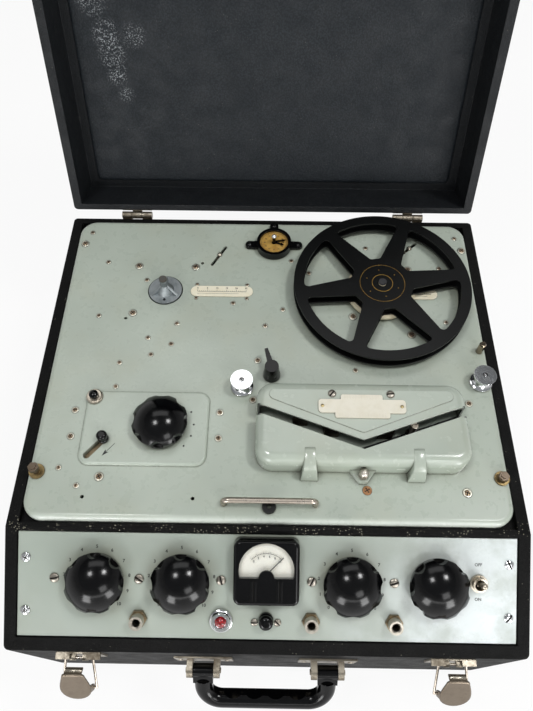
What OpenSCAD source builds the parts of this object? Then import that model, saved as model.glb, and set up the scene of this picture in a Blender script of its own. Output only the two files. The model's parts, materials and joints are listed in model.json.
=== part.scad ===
// Portable reel-to-reel tape recorder in a covered wooden case, with its lid standing open.
// Millimetres: X to the right, Y to the back, Z up. The origin is on the floor under the middle of the case.

/* [Case] */
// Width of the case
case_w = 444; // [440:1:480]
// Depth of the case, front face to back face
case_d = 436; // [430:1:470]
// Height of the level rim above the floor
rim_z = 212; // [205:1:235]
// Height of the front edge above the floor
front_z = 160; // [154:1:170]
// Level run of the sloping front
slope_run = 91; // [88:1:100]
// Thickness of the side and front walls
wall = 10; // [8:0.5:11]
// Thickness of the back wall
back_wall = 7; // [6:0.5:8]
// Thickness of the floor board
floor_t = 10; // [8:1:14]
// Width of the battens that carry the deck and the panel
batten = 14; // [12:1:16]
// Height of the battens and rails
batten_h = 20; // [16:1:26]
// Width of the ledges under the edges of the deck and the panel
ledge = 6; // [4:0.5:8]
// Rounding of the upright corners
case_corner = 4; // [2:0.5:8]

/* [Lid] */
// Height of the lid above the rim
lid_h = 57; // [54:1:70]
// Thickness of the side and front walls of the lid
lid_wall = 9; // [7:0.5:9]
// Thickness of the back wall of the lid
lid_back = 6.5; // [5:0.5:7]
// Thickness of the top board of the lid
lid_skin = 9; // [6:0.5:10]
// Gap between the closed lid and the rim
lid_gap = 0.5; // [0.3:0.1:1]
// Angle to which the lid stands open
lid_open = 111; // [95:1:115]
// Distance of the hinge pin behind the case
hinge_off = 6; // [5.5:0.5:9]
// Distance of the hinges from the middle
hinge_x = 152; // [120:1:180]
// Length of a hinge
hinge_len = 33; // [24:1:50]
// Radius of the hinge barrel
barrel_r = 4; // [3:0.25:5]
// Radius of the hinge pin
hinge_pin_r = 1.8; // [1.2:0.1:2.2]
// Length of a hinge leaf along the wall
leaf_h = 22; // [16:1:30]
// Thickness of a hinge leaf
leaf_t = 1.5; // [1:0.1:2]

/* [Deck plate] */
// Gap round the edge of the deck plate
deck_gap = 1.5; // [0.5:0.1:2.5]
// Width of the level part of the cross rail in front of the deck
rail_flat = 4; // [2:0.5:8]
// Height of the deck above the rim
deck_rise = 6; // [3:0.5:10]
// Height of the folded edge of the deck
deck_h = 12; // [10:0.5:16]
// Thickness of the deck plate
deck_t = 3; // [2:0.25:4]
// Corner radius of the deck
deck_corner = 18; // [10:1:26]
// Rounding of the deck edge
deck_edge = 5; // [3.5:0.25:8]
// Width of the raised control platform
plat_w = 114; // [108:0.5:118]
// Depth of the raised control platform
plat_d = 72.5; // [70:0.5:76]
// Height of the control platform
plat_h = 3; // [1.5:0.25:5]
// Corner radius of the control platform
plat_corner = 10; // [6:0.5:16]

/* [Spools and reel] */
// Distance of each spool from the middle between them
spool_x = 110.5; // [104:0.5:114]
// Shift of both spools to the right of the middle of the case
spool_shift = 1.6; // [0:0.2:3]
// Distance of the spools from the back edge of the deck
spool_from_back = 93.5; // [93:0.5:105]
// Radius of the holes for the spool hubs
hub_hole_r = 18; // [17.8:0.1:22]
// Radius of a spool hub
hub_r = 17; // [14:0.5:17.2]
// Radius of the reel spindle
spindle_r = 3.95; // [3.5:0.05:4.5]
// Height of the spindle above the deck
spindle_h = 20; // [16:0.5:26]
// Radius of the turntable disc under the reel
disc_r = 35; // [25:0.5:45]
// Thickness of the turntable disc
disc_t = 2.5; // [1.5:0.25:4]
// Height of the disc above the deck
disc_lift = 3; // [2.8:0.1:5]
// Radius of the reel
reel_r = 89; // [75:0.5:90]
// Thickness of the whole reel
reel_h = 12; // [11:0.5:15]
// Thickness of a reel flange
flange_t = 1.6; // [1.2:0.1:2.2]
// Radius of the reel hub
reel_hub_r = 28; // [22:0.5:32]
// Width of the reel rim
reel_rim = 10.5; // [8:0.5:20]
// Width of a spoke near the hub
spoke_in = 28; // [18:0.5:30]
// Width of a spoke at the rim
spoke_out = 10; // [8:0.5:20]
// Rounding of the window corners
window_round = 4; // [2:0.5:6]
// Angle at which the first spoke of the reel stands
reel_turn = 9; // [0:1:59]

/* [Head cover] */
// Width of the head cover
cover_w = 187.5; // [180:0.5:192]
// Depth of the head cover with its gate
cover_d = 78; // [75:0.5:82]
// Height of the head cover
cover_h = 24; // [22:0.5:30]
// Corner radius of the head cover
cover_corner = 16; // [12:0.5:22]
// Rounding of the top edge of the head cover
cover_edge = 9; // [5:0.5:11]
// Wall thickness of the head cover
cover_wall = 3; // [2:0.25:4]
// Width of the tape slot
slot_w = 8; // [6:0.5:10]
// Depth of the V of the tape slot
slot_drop = 34; // [28:1:36]
// Distance of the ends of the tape slot from the back of the cover
slot_end = 27; // [24:0.5:30]

/* [Front panel] */
// Gap round the panel
panel_gap = 1; // [0.5:0.1:2]
// Depth of the panel face below the rim of the slope
panel_recess = 1; // [0:0.25:3]
// Thickness of the panel
panel_t = 2; // [1.5:0.25:3]
// Width of the rail above the panel, down the slope
rail_s = 4; // [3:0.5:6]
// Width of the sill below the panel, down the slope
sill_s = 12.3; // [11.9:0.1:16]
// Distance of the outer knobs from the ends of the panel
knob_end = 67; // [64:0.5:70]
// Distance of the knobs below the top of the slope
knob_s = 44; // [42:0.5:46]
// Distance of the sockets below the top of the slope
socket_s = 76; // [75:0.5:78]
// Radius of a jack bore
jack_r = 3.2; // [2.6:0.05:3.4]

/* [Knobs] */
// Radius of a large knob
knob_r = 25; // [20:0.25:25.2]
// Height of a large knob
knob_h = 23; // [18:0.5:26]
// Height of the widest part of a knob
knob_rim = 10; // [8.5:0.5:13]
// Height at which the flutes of a knob begin
knob_skirt = 4; // [2:0.5:6]
// Number of finger flutes round a knob
knob_flutes = 8; // [6:1:12]
// Radius of a flute
flute_r = 8; // [5:0.5:10]
// Depth of a flute
flute_depth = 3; // [1.5:0.25:4]
// Gap between a knob and what it stands over
knob_gap = 1.2; // [0.5:0.1:3]
// Radius of the control shafts
shaft_r = 3; // [2.5:0.05:3.2]

/* [Meter] */
// Width of the meter case
meter_w = 55; // [52:0.5:60]
// Height of the meter case up the slope
meter_d = 54; // [51:0.5:56]
// Height of the meter case above the panel
meter_h = 13.5; // [11:0.5:18]
// Radius of the arched dial window
window_r = 23.2; // [18:0.2:24]
// Height of the window centre above its straight edge
window_drop = 6; // [4:0.5:8]
// Depth of the dial below the front of the meter
dial_depth = 5; // [4.5:0.25:7]

/* [Front fittings] */
// Distance of the latches from the middle
latch_x = 160; // [150:1:175]
// Length of a latch lever
latch_len = 34; // [30:0.5:38]
// Width of a latch lever
latch_w = 24.8; // [22:0.2:26]
// Angle at which the open latch lever hangs below the level
latch_droop = 60; // [52:1:66]
// Length of the wire link between latch plate and lever
link_len = 27.4; // [25:0.2:30]
// Angle at which the wire link hangs below the level
link_droop = 38; // [30:1:46]
// Distance of the handle arms from the middle
handle_x = 56; // [45:0.5:75]
// Reach of the handle from its pivots
handle_reach = 33; // [30:0.5:45]
// Angle at which the handle hangs below the level
handle_droop = 50; // [30:1:60]
// Radius of the handle grip
grip_r = 8.2; // [7.5:0.1:10]
// Number of finger hollows along the grip
finger_count = 4; // [3:1:5]

/* [Clearances] */
// Radial clearance of a shaft in its bearing
run_gap = 0.05; // [0.02:0.01:0.1]
// Clearance of a fixed piece in its hole
fit_gap = 0.15; // [0.1:0.05:0.4]
// Clearance beside a moving piece
free_gap = 0.4; // [0.3:0.05:1]

/* [Hidden] */
$fn = 64;
eps = 0.01;
over = 30;

front_y = -case_d / 2;
back_y = case_d / 2;
kink_y = front_y + slope_run;
slope_a = atan2(rim_z - front_z, slope_run);
slope_len = norm([slope_run, rim_z - front_z]);
inner_x = case_w / 2 - wall;
lid_top = rim_z + lid_h;
hinge_at = [back_y + hinge_off, rim_z];

deck_w = 2 * (inner_x - deck_gap);
deck_front = kink_y + rail_flat + deck_gap;
deck_back = back_y - back_wall - deck_gap;
deck_d = deck_back - deck_front;
deck_right = deck_w / 2;
deck_z = rim_z + deck_rise;
deck_seat = deck_z - deck_h;
deck_under = deck_z - deck_t;
plat_at = [-112, deck_front + 83.7];
plat_z = deck_z + plat_h;

spool_y = deck_back - spool_from_back;
left_spool = [spool_shift - spool_x, spool_y];
right_spool = [spool_shift + spool_x, spool_y];
hub_t = 5;
hub_rise = 1;
drive_r = 4;
motor_r = 46;
motor_z = [deck_z - 108, deck_z - 22];
motor_pillar_r = 4;
fin_r = 15;
fin_t = 2.4;
cone_h = spindle_h * 0.45;
cone_r = 9;
reel_z = deck_z + disc_lift + disc_t;
reel_bore_r = spindle_r + fit_gap;

cover_off = 21.8725;
cover_at = [82.2, deck_front + 0.415 * (spool_y - reel_r - deck_front) + cover_off];
cover_back = cover_at[1] + cover_d / 2;
cover_front = cover_at[1] - cover_d / 2;
cover_top = deck_z + cover_h;
slot_half = cover_w / 2;
slot_a = atan2(slot_drop, slot_half);
slot_y = cover_back - slot_end;
gate_pad_h = 0.9;
ear_h = 7;
cover_bolt = [cover_at[0], cover_front - 5];
pinch_inset = 15.95;

capstan_r = 3;
capstan_x = 46.5;
capstan_at = [cover_at[0] + capstan_x, tape_y(capstan_x) + (capstan_r + 0.6) / cos(slot_a)];
flywheel_r = 42;
flywheel_t = 14;
flywheel_z = deck_z - 32;
capstan_motor_r = 38;
capstan_pillar_r = 50;
pinch_r = 9;
pinch_gap = 0.3;
pinch_open = 8;
pinch_pivot = [cover_at[0] + slot_half - pinch_inset, cover_front + 15];
pinch_near = capstan_at + (capstan_r + pinch_r + pinch_gap) * [sin(slot_a), -cos(slot_a)];
pinch_arm_len = norm(pinch_near - pinch_pivot);
pinch_arm_a = atan2(pinch_near[1] - pinch_pivot[1], pinch_near[0] - pinch_pivot[0]) + pinch_open;
pinch_pin_r = 2.5;
pinch_axle_r = 1.5;
pinch_z = deck_z + 4;
arm_t = 3;

panel_w = 2 * (inner_x - panel_gap);
panel_h = slope_len - rail_s - sill_s;
pitch = (panel_w / 2 - knob_end) / 2;
meter_screw_x = meter_w / 2 + 0.56 * (pitch - knob_r - meter_w / 2);
panel_end = rail_s + panel_h;
bush_r = 5;
bush_h = 5;
nut_h = 2;
knob_recess = [12, 8];
pot_r = 14;
pot_h = 18;
lamp_at = [-38, socket_s + 0.5];
zero_at = [0, socket_s - 1];
jacks = [[-1.5 * pitch, socket_s], [38, socket_s], [1.5 * pitch, socket_s]];
knob_xs = [-2 * pitch, -pitch, pitch, 2 * pitch];
toggle_at = [panel_w / 2 - 32.4, knob_s - 2.4];
jack_nut_r = 7.6;
jack_bush_r = 5.8;
jack_len = 30;
jack_face = 12;
jack_mouth = 1;
lamp_r = 9.6;
lens_r = 5;
zero_r = 6.2;
zero_bush_r = 3.5;
toggle_r = 6;
toggle_tilt = 12;
toggle_pivot = 2;
toggle_pin_r = 0.8;
screw_panel_r = 4;

meter_at = [0, 32.5];
meter_corner = 6;
meter_edge = 3;
meter_barrel = [21, 25];
window_y = 2;
window_flat = window_y - window_drop;
pivot_y = window_flat + 2.5;
meter_floor = meter_h - dial_depth;
dial_t = 0.8;
glass_t = 0.8;
glass_sink = 0.5;
dome_r = 6.6;
needle_len = 20;
needle_rest = -45;
arbor_r = 0.8;
arbor_len = 7.5;
needle_z = meter_floor + dial_t + 1;

func_at = plat_at + [14.5, 1.8];
stop_at = plat_at + [-50, 29.2];
start_at = plat_at + [-35.8, -12.4];
start_a = 230;
start_travel = 20;
start_slot_w = 6.5;
stop_collar_r = 7.5;
stop_r = 4.2;
stop_h = 5.5;
stop_travel = 4;
speed_at = [2, cover_back + 17.4];
speed_r = [8.2, 6.5];
speed_h = 18;
speed_pointer = [21.5, 105];

counter_at = [2.5, deck_back - 33.7];
counter_r = 18.3;
counter_h = 9;
counter_dial_r = 15;
counter_lug = 26;
counter_floor = 6;
hand_tube_r = 2;
hand_arbor_r = 1.2;

brake_w = 3.2;
brake_pin_r = 1.25;
brake_head_r = 2.6;
brake_len = 30;
left_brake_at = [-55.2, spool_y + 47.5];
left_brake_a = 60.5;
left_brake_shift = -1.6;
right_brake_at = [148, spool_y + 59];
right_brake_a = 42;
right_brake_shift = -3.4;

guide_left = [-25.6, cover_back + 4.4];
guide_right = [deck_right - 10.8, cover_back + 12.6];
guide_r = 10.4;
guide_h = 15.5;
post_at = [deck_right - 7, cover_back + 46.9];
bolt_y = deck_front + 41;
bolt_left = [-deck_right + 8, bolt_y];
bolt_right = [deck_right - 7, bolt_y];
bolt_r = 4.7;
bar_at = [1.7, deck_front + 15.2];
bar_span = 78.5;
bar_rise = 10.4;
bar_r = 2.6;
bar_bend = 5;
buffer_at = [1.3, deck_front + 12.5];
scale_size = [64, 13];
scale_left = [-50.6, spool_y - 0.7];
scale_right = [151, spool_y - 1];
scale_right_l = 40;
scale_t = 0.8;

link_at = [front_y - 4, front_z - 12];
link_half = [latch_w / 2 - 0.8, latch_w / 2 + 2];
wire_r = 1.1;
lever_at = link_at - link_len * [cos(link_droop), sin(link_droop)];
lever_face = 8;
lever_tip = 3;
latch_t = 1.6;
latch_plate = [38, 28, 1.5];
claw = [14.6, 6];
catch_z = front_z + 7;
bracket_z = front_z - 48;
bracket_out = 10;
bracket_pin_r = 2.4;
bracket_plate = [52, 30, 1.6];
eye_w = 18;
eye_r = 6.5;
ear_t = 5.5;
handle_bend = 17;

small_screws = [
    [-deck_right + 14.5, deck_back - 17.5], [-173, spool_y + 35.7], [-129.5, spool_y + 12.8],
    [21.3, spool_y + 40.2], [-38.4, spool_y - 15], [12.4, spool_y - 22.2], [-173, spool_y - 32.4],
    [-93.5, spool_y - 40.5], [-120.6, spool_y - 57.8], [-97, spool_y - 64.5], [-115.6, spool_y - 76.8],
    [-145, spool_y - 86.2], [-5.1, spool_y - 42], [39.5, spool_y + 24.2], [101.2, spool_y + 58.6],
    [125.3, spool_y + 59], [176.7, spool_y + 32.4], [175.8, spool_y - 35],
    [deck_right - 12, deck_back - 20.1], [cover_at[0], cover_back + 23.7], [-145, deck_front + 125.6],
    [-184.3, deck_front + 44.9], [-166.3, deck_front + 29]
];
medium_screws = [
    [-11.7, cover_back + 33.3], [-179.1, deck_front + 100.6], [-178.8, deck_front + 74.6],
    [-45.3, deck_front + 100.1], [-45.3, deck_front + 74.7], [-15.2, cover_back - 9],
    [185.5, cover_back - 9.7]
];
large_screws = [
    [-deck_right + 8.9, deck_back - 33.3], [-139.6, spool_y + 31], [-79.8, spool_y + 30.5],
    [-139.2, spool_y - 28.6], [83, spool_y - 29.6], [139.9, spool_y - 50.2], [143.5, spool_y + 30.3],
    [deck_right - 6.8, deck_back - 36.7], [-147.5, deck_front + 37.3], [85.7, deck_front + 28.5],
    [171.8, deck_front + 27.7]
];
deck_holes = [
    [-73.1, spool_y + 35.9], [-145.6, spool_y - 34.9], [-159.4, deck_front + 19.3], [-64.3, deck_front + 19.2]
];
gate_screws = [[cover_at[0] - 26, cover_back - 13.6], [cover_at[0] + 26, cover_back - 13.6]];
panel_screws = [
    [-2.5 * pitch, knob_s - 1], [-1.5 * pitch, knob_s - 1], [-meter_screw_x, knob_s - 1],
    [meter_screw_x, knob_s - 1], [1.5 * pitch, knob_s - 1],
    [-panel_w / 2 + 6.5, 26], [-panel_w / 2 + 6.5, 71],
    [panel_w / 2 - 6.5, 26], [panel_w / 2 - 6.5, 71]
];
zero_screw_x = 9.8;

chassis_size = [250, 100, 45];
chassis_gap = 10;
chassis_at = [-65, front_y + wall + chassis_gap + chassis_size[1] / 2];
chassis_t = 1.5;
valve_xs = [-160, -115, -70, -25, 20];
valve_r = 11;
valve_h = 50;
inlet_at = [150, 60];
inlet_r = 12;
inlet_flange_r = 16;

// Middle line of the tape slot, x measured from the middle of the head cover
function tape_y(x) = slot_y - slot_drop * (1 - abs(x) / slot_half);

// Height of a line parallel to the sloping front, off above it, at depth y
function slope_z(y, off) = rim_z + off / cos(slope_a) - (kink_y - y) * tan(slope_a);

// Depth at which that line has the height z
function slope_y(z, off) = kink_y - (rim_z + off / cos(slope_a) - z) / tan(slope_a);

// A point s down the slope and off above it, in the plane of the side wall
function slope_point(s, off) = [
    kink_y - s * cos(slope_a) - off * sin(slope_a),
    rim_z - s * sin(slope_a) + off * cos(slope_a)
];

// Shapes that repeat

module rounded_rect(w, d, r) {
    square([w - 2 * r, d], center = true);
    square([w, d - 2 * r], center = true);
    for (x = [-1, 1], y = [-1, 1]) {
        translate([x * (w / 2 - r), y * (d / 2 - r)]) circle(r);
    }
}

module stadium(l, w) {
    square([l - w, w], center = true);
    for (x = [-1, 1]) {
        translate([x * (l - w) / 2, 0]) circle(d = w);
    }
}

// Half section of a block with a rounded top edge
module edge_section(reach, h, edge) {
    square([reach, h - edge]);
    square([reach - edge, h]);
    translate([reach - edge, h - edge]) intersection() {
        circle(edge);
        square(edge);
    }
}

// Block with rounded corners and a rounded top edge
module slab(w, d, h, corner, edge) {
    translate([0, 0, h / 2]) cube([w - 2 * corner, d - 2 * corner, h], center = true);
    for (x = [0, 1]) {
        mirror([x, 0, 0]) translate([w / 2 - corner, d / 2 - corner, 0])
            rotate([90, 0, 0]) linear_extrude(d - 2 * corner) edge_section(corner, h, edge);
        mirror([0, x, 0]) translate([-w / 2 + corner, d / 2 - corner, 0])
            rotate([90, 0, 90]) linear_extrude(w - 2 * corner) edge_section(corner, h, edge);
    }
    for (x = [0, 1], y = [0, 1]) {
        mirror([x, 0, 0]) mirror([0, y, 0]) translate([w / 2 - corner, d / 2 - corner, 0])
            rotate_extrude(angle = 90) edge_section(corner, h, edge);
    }
}

// Round bar bent into an arch: two legs up from Z = 0 and a crossbar
module rod_arch(span, rise, r, bend) {
    translate([-span / 2 + bend, 0, rise]) rotate([0, 90, 0]) cylinder(r = r, h = span - 2 * bend);
    for (x = [0, 1]) {
        mirror([x, 0, 0]) {
            translate([span / 2, 0, 0]) cylinder(r = r, h = rise - bend);
            translate([span / 2 - bend, 0, rise - bend]) rotate([90, 0, 0])
                rotate_extrude(angle = 90) translate([bend, 0]) circle(r);
        }
    }
}

// Low domed head of a screw
module dome_head(r, h) {
    ball = (r * r + h * h) / (2 * h);
    rotate_extrude() intersection() {
        translate([0, h - ball]) circle(ball);
        square([r, h]);
    }
}

module tube(r, bore, h) {
    difference() {
        cylinder(r = r, h = h);
        translate([0, 0, -over]) cylinder(r = bore, h = h + 2 * over);
    }
}

module along_x(w) {
    rotate([90, 0, 90]) linear_extrude(w, center = true) children();
}

module lying_x(r, w) {
    rotate([0, 90, 0]) cylinder(r = r, h = w, center = true);
}

module on_slope(x, s, off = 0) {
    translate([x, kink_y, rim_z]) rotate([slope_a, 0, 0]) translate([0, -s, off]) children();
}

module on_panel(at, off = 0) {
    on_slope(at[0], at[1], off - panel_recess) children();
}

module on_deck(at, lift = 0) {
    translate([at[0], at[1], deck_z + lift]) children();
}

// Turns what is drawn on the closed lid to where the open lid stands
module opened() {
    translate([0, hinge_at[0], hinge_at[1]]) rotate([-lid_open, 0, 0])
        translate([0, -hinge_at[0], -hinge_at[1]]) children();
}

// Case and lid

module upright_block(z0, z1) {
    translate([0, 0, z0]) linear_extrude(z1 - z0) rounded_rect(case_w, case_d, case_corner);
}

module cabinet() {
    rebate_off = panel_recess + panel_t;
    well_front = deck_front - deck_gap;
    back_in = back_y - back_wall;
    front_in = front_y + wall;
    low_off = -rebate_off - batten_h;
    low_z = deck_seat - batten_h;
    sill_in = slope_point(panel_end - ledge, -rebate_off + 1);
    sill_low = slope_point(panel_end - ledge, low_off);
    color("#1d1e20") difference() {
        intersection() {
            along_x(case_w) polygon([
                [front_y, 0], [back_y, 0], [back_y, rim_z], [kink_y, rim_z], [front_y, front_z]
            ]);
            upright_block(0, rim_z);
        }
        translate([-inner_x, well_front, deck_seat])
            cube([2 * inner_x, back_in - well_front, over]);
        on_slope(0, rail_s - panel_gap, -rebate_off)
            translate([-inner_x, -panel_h - 2 * panel_gap, 0])
            cube([2 * inner_x, panel_h + 2 * panel_gap, over]);
        along_x(2 * (inner_x - batten)) polygon([
            [front_in, floor_t], [back_in, floor_t], [back_in, deck_seat + 1],
            [well_front + ledge, deck_seat + 1], [well_front + ledge, low_z],
            slope_point(rail_s + ledge, low_off), slope_point(rail_s + ledge, -rebate_off + 1),
            sill_in, sill_low, [front_in, slope_z(front_in, low_off)]
        ]);
        along_x(2 * inner_x) polygon([
            [front_in, floor_t], [back_in, floor_t], [back_in, low_z],
            [slope_y(low_z, low_off), low_z], [front_in, slope_z(front_in, low_off)]
        ]);
        translate([inlet_at[0], back_y, inlet_at[1]]) rotate([90, 0, 0])
            cylinder(r = inlet_r + fit_gap, h = 4 * back_wall, center = true);
    }
}

module rubber_buffer() {
    color("#1b1b1b") on_deck(buffer_at) tube(5.8, 2, 4);
}

module lid_shell() {
    back_in = back_y - lid_back;
    front_in = front_y + lid_wall;
    top_in = lid_top - lid_skin;
    seat_z = rim_z + lid_gap;
    color("#23272c") opened() difference() {
        intersection() {
            along_x(case_w) polygon([
                [back_y, seat_z], [back_y, lid_top], [front_y, lid_top],
                [front_y, slope_z(front_y, lid_gap)], [slope_y(seat_z, lid_gap), seat_z]
            ]);
            upright_block(front_z, lid_top);
        }
        along_x(case_w - 2 * lid_wall) polygon([
            [back_in, rim_z - ledge], [back_in, top_in], [front_in, top_in], [front_in, front_z - over]
        ]);
    }
}

// Barrel knuckles of one hinge leaf, from x0 to x1 along the pin
module knuckle(x0, x1, side) {
    web = hinge_off + eps;
    translate([x0, hinge_at[0], hinge_at[1]]) {
        rotate([0, 90, 0]) tube(barrel_r, hinge_pin_r + run_gap, x1 - x0);
        difference() {
            translate([0, -web, side > 0 ? barrel_r - leaf_t : -barrel_r]) cube([x1 - x0, web, leaf_t]);
            rotate([0, 90, 0]) cylinder(r = barrel_r - 0.5, h = x1 - x0);
        }
    }
}

module cabinet_hinge_leaves() {
    third = hinge_len / 3;
    color("#b9b2a4") for (x = [-1, 1]) {
        translate([x * hinge_x, 0, 0]) {
            translate([-hinge_len / 2, back_y, rim_z - leaf_h])
                cube([hinge_len, leaf_t, leaf_h - barrel_r + leaf_t]);
            knuckle(-hinge_len / 2, -third / 2 - free_gap / 2, -1);
            knuckle(third / 2 + free_gap / 2, hinge_len / 2, -1);
            translate([0, hinge_at[0], hinge_at[1]]) lying_x(hinge_pin_r, hinge_len);
            for (s = [-1, 1]) {
                translate([s * (third / 2 + free_gap / 2 + third / 4), hinge_at[0], hinge_at[1]])
                    lying_x(hinge_pin_r + 2 * run_gap, third / 4);
            }
        }
    }
}

module lid_hinge_leaves() {
    third = hinge_len / 3;
    leaf_z = rim_z + barrel_r - leaf_t;
    color("#b9b2a4") opened() for (x = [-1, 1]) {
        translate([x * hinge_x, 0, 0]) {
            translate([-hinge_len / 2, back_y, leaf_z]) cube([hinge_len, leaf_t, leaf_h - barrel_r]);
            knuckle(-third / 2 + free_gap / 2, third / 2 - free_gap / 2, 1);
        }
    }
}

module lid_catch_plates() {
    catch_w = 30;
    catch_h = 15;
    catch_t = 1.2;
    lip = [24, 4.5, 1.6];
    color("#a8a093") opened() for (x = [-1, 1]) {
        translate([x * latch_x, front_y, catch_z]) {
            translate([-catch_w / 2, -catch_t, 0]) cube([catch_w, catch_t, catch_h]);
            translate([-lip[0] / 2, -lip[1], 1.5]) cube(lip);
        }
    }
}

// Deck plate and what is fixed to it

module brake_slot(at, a, shift) {
    on_deck(at, -over) rotate(a) translate([shift, 0, 0])
        linear_extrude(2 * over) stadium(brake_len, brake_w);
}

module deck_plate() {
    slot_mid = start_travel / 2;
    color("#a9b2a6") difference() {
        union() {
            translate([0, deck_front + deck_d / 2, deck_seat])
                slab(deck_w, deck_d, deck_h, deck_corner, deck_edge);
            on_deck(plat_at, -eps) slab(plat_w, plat_d, plat_h + eps, plat_corner, plat_h - 0.5);
        }
        translate([0, deck_front + deck_d / 2, deck_seat - eps])
            linear_extrude(deck_h - deck_t + eps)
            rounded_rect(deck_w - 2 * deck_t, deck_d - 2 * deck_t, deck_corner - deck_t);
        for (x = [-1, 1]) {
            on_deck([x * spool_x + spool_shift, spool_y], -over) cylinder(r = hub_hole_r, h = 2 * over);
        }
        on_deck(capstan_at, -over) cylinder(r = capstan_r + 2, h = 2 * over);
        on_deck(pinch_pivot, -over) cylinder(r = pinch_pin_r + run_gap, h = 2 * over);
        on_deck(func_at, -over) cylinder(r = bush_r + fit_gap, h = 2 * over);
        on_deck(speed_at, -over) cylinder(r = bush_r + fit_gap, h = 2 * over);
        on_deck(stop_at, -over) cylinder(r = bush_r + fit_gap, h = 2 * over);
        on_deck(start_at, -over) rotate(start_a) translate([slot_mid, 0, 0])
            linear_extrude(2 * over) stadium(start_travel + start_slot_w, start_slot_w);
        brake_slot(left_brake_at, left_brake_a, left_brake_shift);
        brake_slot(right_brake_at, right_brake_a, right_brake_shift);
        for (p = deck_holes) {
            on_deck(p, -over) cylinder(r = 1.6, h = 2 * over);
        }
    }
}

module cover_block(inset) {
    translate([cover_at[0], cover_at[1], deck_z - eps * inset])
        slab(cover_w - 2 * inset, cover_d - 2 * inset, cover_h - inset,
             cover_corner - inset, cover_edge - inset);
}

// Area in front of the tape slot (side = -1) or behind it (side = 1)
module slot_side(side) {
    edge = side * slot_w / 2 / cos(slot_a);
    far_x = slot_half + over;
    far_y = side * 2 * cover_d;
    rise = slot_drop * over / slot_half;
    translate([cover_at[0], 0, deck_z - over]) linear_extrude(4 * over) polygon([
        [-far_x, slot_y + rise + edge], [0, slot_y - slot_drop + edge], [far_x, slot_y + rise + edge],
        [far_x, slot_y + far_y], [-far_x, slot_y + far_y]
    ]);
}

module cover_shell(side) {
    intersection() {
        difference() {
            cover_block(0);
            cover_block(cover_wall);
        }
        slot_side(side);
    }
}

module head_cover() {
    rib_w = 15;
    rib_top = 9.5;
    rib_out = 8;
    rib_in = 14;
    ear = [11.5, 5.5];
    color("#a9b2a6") {
        difference() {
            union() {
                cover_shell(-1);
                for (x = [-46.5, 46.5]) {
                    translate([cover_at[0] + x, cover_front, deck_z]) intersection() {
                        along_x(rib_w) polygon([
                            [rib_in, 0], [rib_in, cover_h - 0.4], [0, cover_h - 5.5],
                            [-rib_out + 3, cover_h - 8], [-rib_out, 0]
                        ]);
                        rotate([90, 0, 0]) linear_extrude(4 * rib_in, center = true) polygon([
                            [-rib_w / 2, 0], [rib_w / 2, 0], [rib_top / 2, cover_h], [-rib_top / 2, cover_h]
                        ]);
                    }
                }
                on_deck(cover_bolt) linear_extrude(ear_h)
                    polygon([[-ear[0], ear[1]], [-3.5, -ear[1]], [3.5, -ear[1]], [ear[0], ear[1]]]);
            }
            cover_block(cover_wall);
        }
    }
}

module head_gate() {
    pad_r = 5;
    pad_x = slot_half - 17;
    pad_back = cover_back - 14.4;
    pad_front = slot_y - slot_drop + slot_w + 8;
    color("#a9b2a6") {
        cover_shell(1);
        translate([0, 0, cover_top - eps]) hull() {
            for (p = [[-pad_x, pad_back], [pad_x, pad_back], [0, pad_front]]) {
                translate([cover_at[0] + p[0], p[1], 0]) cylinder(r = pad_r, h = gate_pad_h + eps, $fn = 32);
            }
        }
    }
}

module nameplate() {
    color("#d8d5c8") translate([cover_at[0], cover_back - 26, cover_top + gate_pad_h]) linear_extrude(1.2) {
        rounded_rect(77, 13, 3);
        translate([0, 4]) rounded_rect(37, 14.5, 2);
        translate([0, -4]) rounded_rect(48, 14.5, 2);
    }
}

module tape_heads() {
    head = [13, 12, 15];
    color("#9a9da0") for (x = [-54, -26, 22]) {
        on_deck([cover_at[0] + x, tape_y(x) + slot_w / 2 + 1]) {
            translate([-head[0] / 2, 2, 0]) cube(head);
            translate([0, 2 + head[0] / 2, 0]) difference() {
                cylinder(r = head[0] / 2, h = head[2]);
                translate([-over, 0, -over]) cube([2 * over, over, 3 * over]);
            }
        }
    }
}

module bobbin(h) {
    waist = guide_r * 0.55;
    groove = h * 0.42;
    difference() {
        rotate_extrude() difference() {
            square([guide_r, h]);
            translate([waist + groove, h * 0.52]) circle(groove);
        }
        translate([0, 0, h - 5]) cylinder(r = 2, h = over);
    }
}

module tape_guides() {
    color("#d9dcde") {
        on_deck(guide_left) bobbin(guide_h);
        on_deck(guide_right) bobbin(guide_h);
        on_deck(post_at) {
            cylinder(r = 3.2, h = 13);
            translate([0, 0, 13]) cylinder(r1 = 3.2, r2 = 2.4, h = 1.5);
        }
    }
}

// Hexagon bolt with its washer, the head standing lift above the washer
module bolt(washer_r, washer_h, lift, head_h) {
    cylinder(r = washer_r, h = washer_h);
    cylinder(r = 3, h = washer_h + lift + eps);
    translate([0, 0, washer_h + lift]) {
        cylinder(r = bolt_r, h = head_h, $fn = 6);
        translate([0, 0, head_h - eps]) cylinder(r = 2.6, h = 1.2);
    }
}

module deck_bolts() {
    color("#8d7b52") {
        on_deck(bolt_left) bolt(6.8, 1.6, 6, 4.5);
        on_deck(bolt_right) bolt(6.4, 1.6, 2, 4);
        on_deck(cover_bolt, ear_h) {
            cylinder(r = 4.4, h = 7, $fn = 6);
            translate([0, 0, 7 - eps]) dome_head(4, 3);
        }
    }
}

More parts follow.
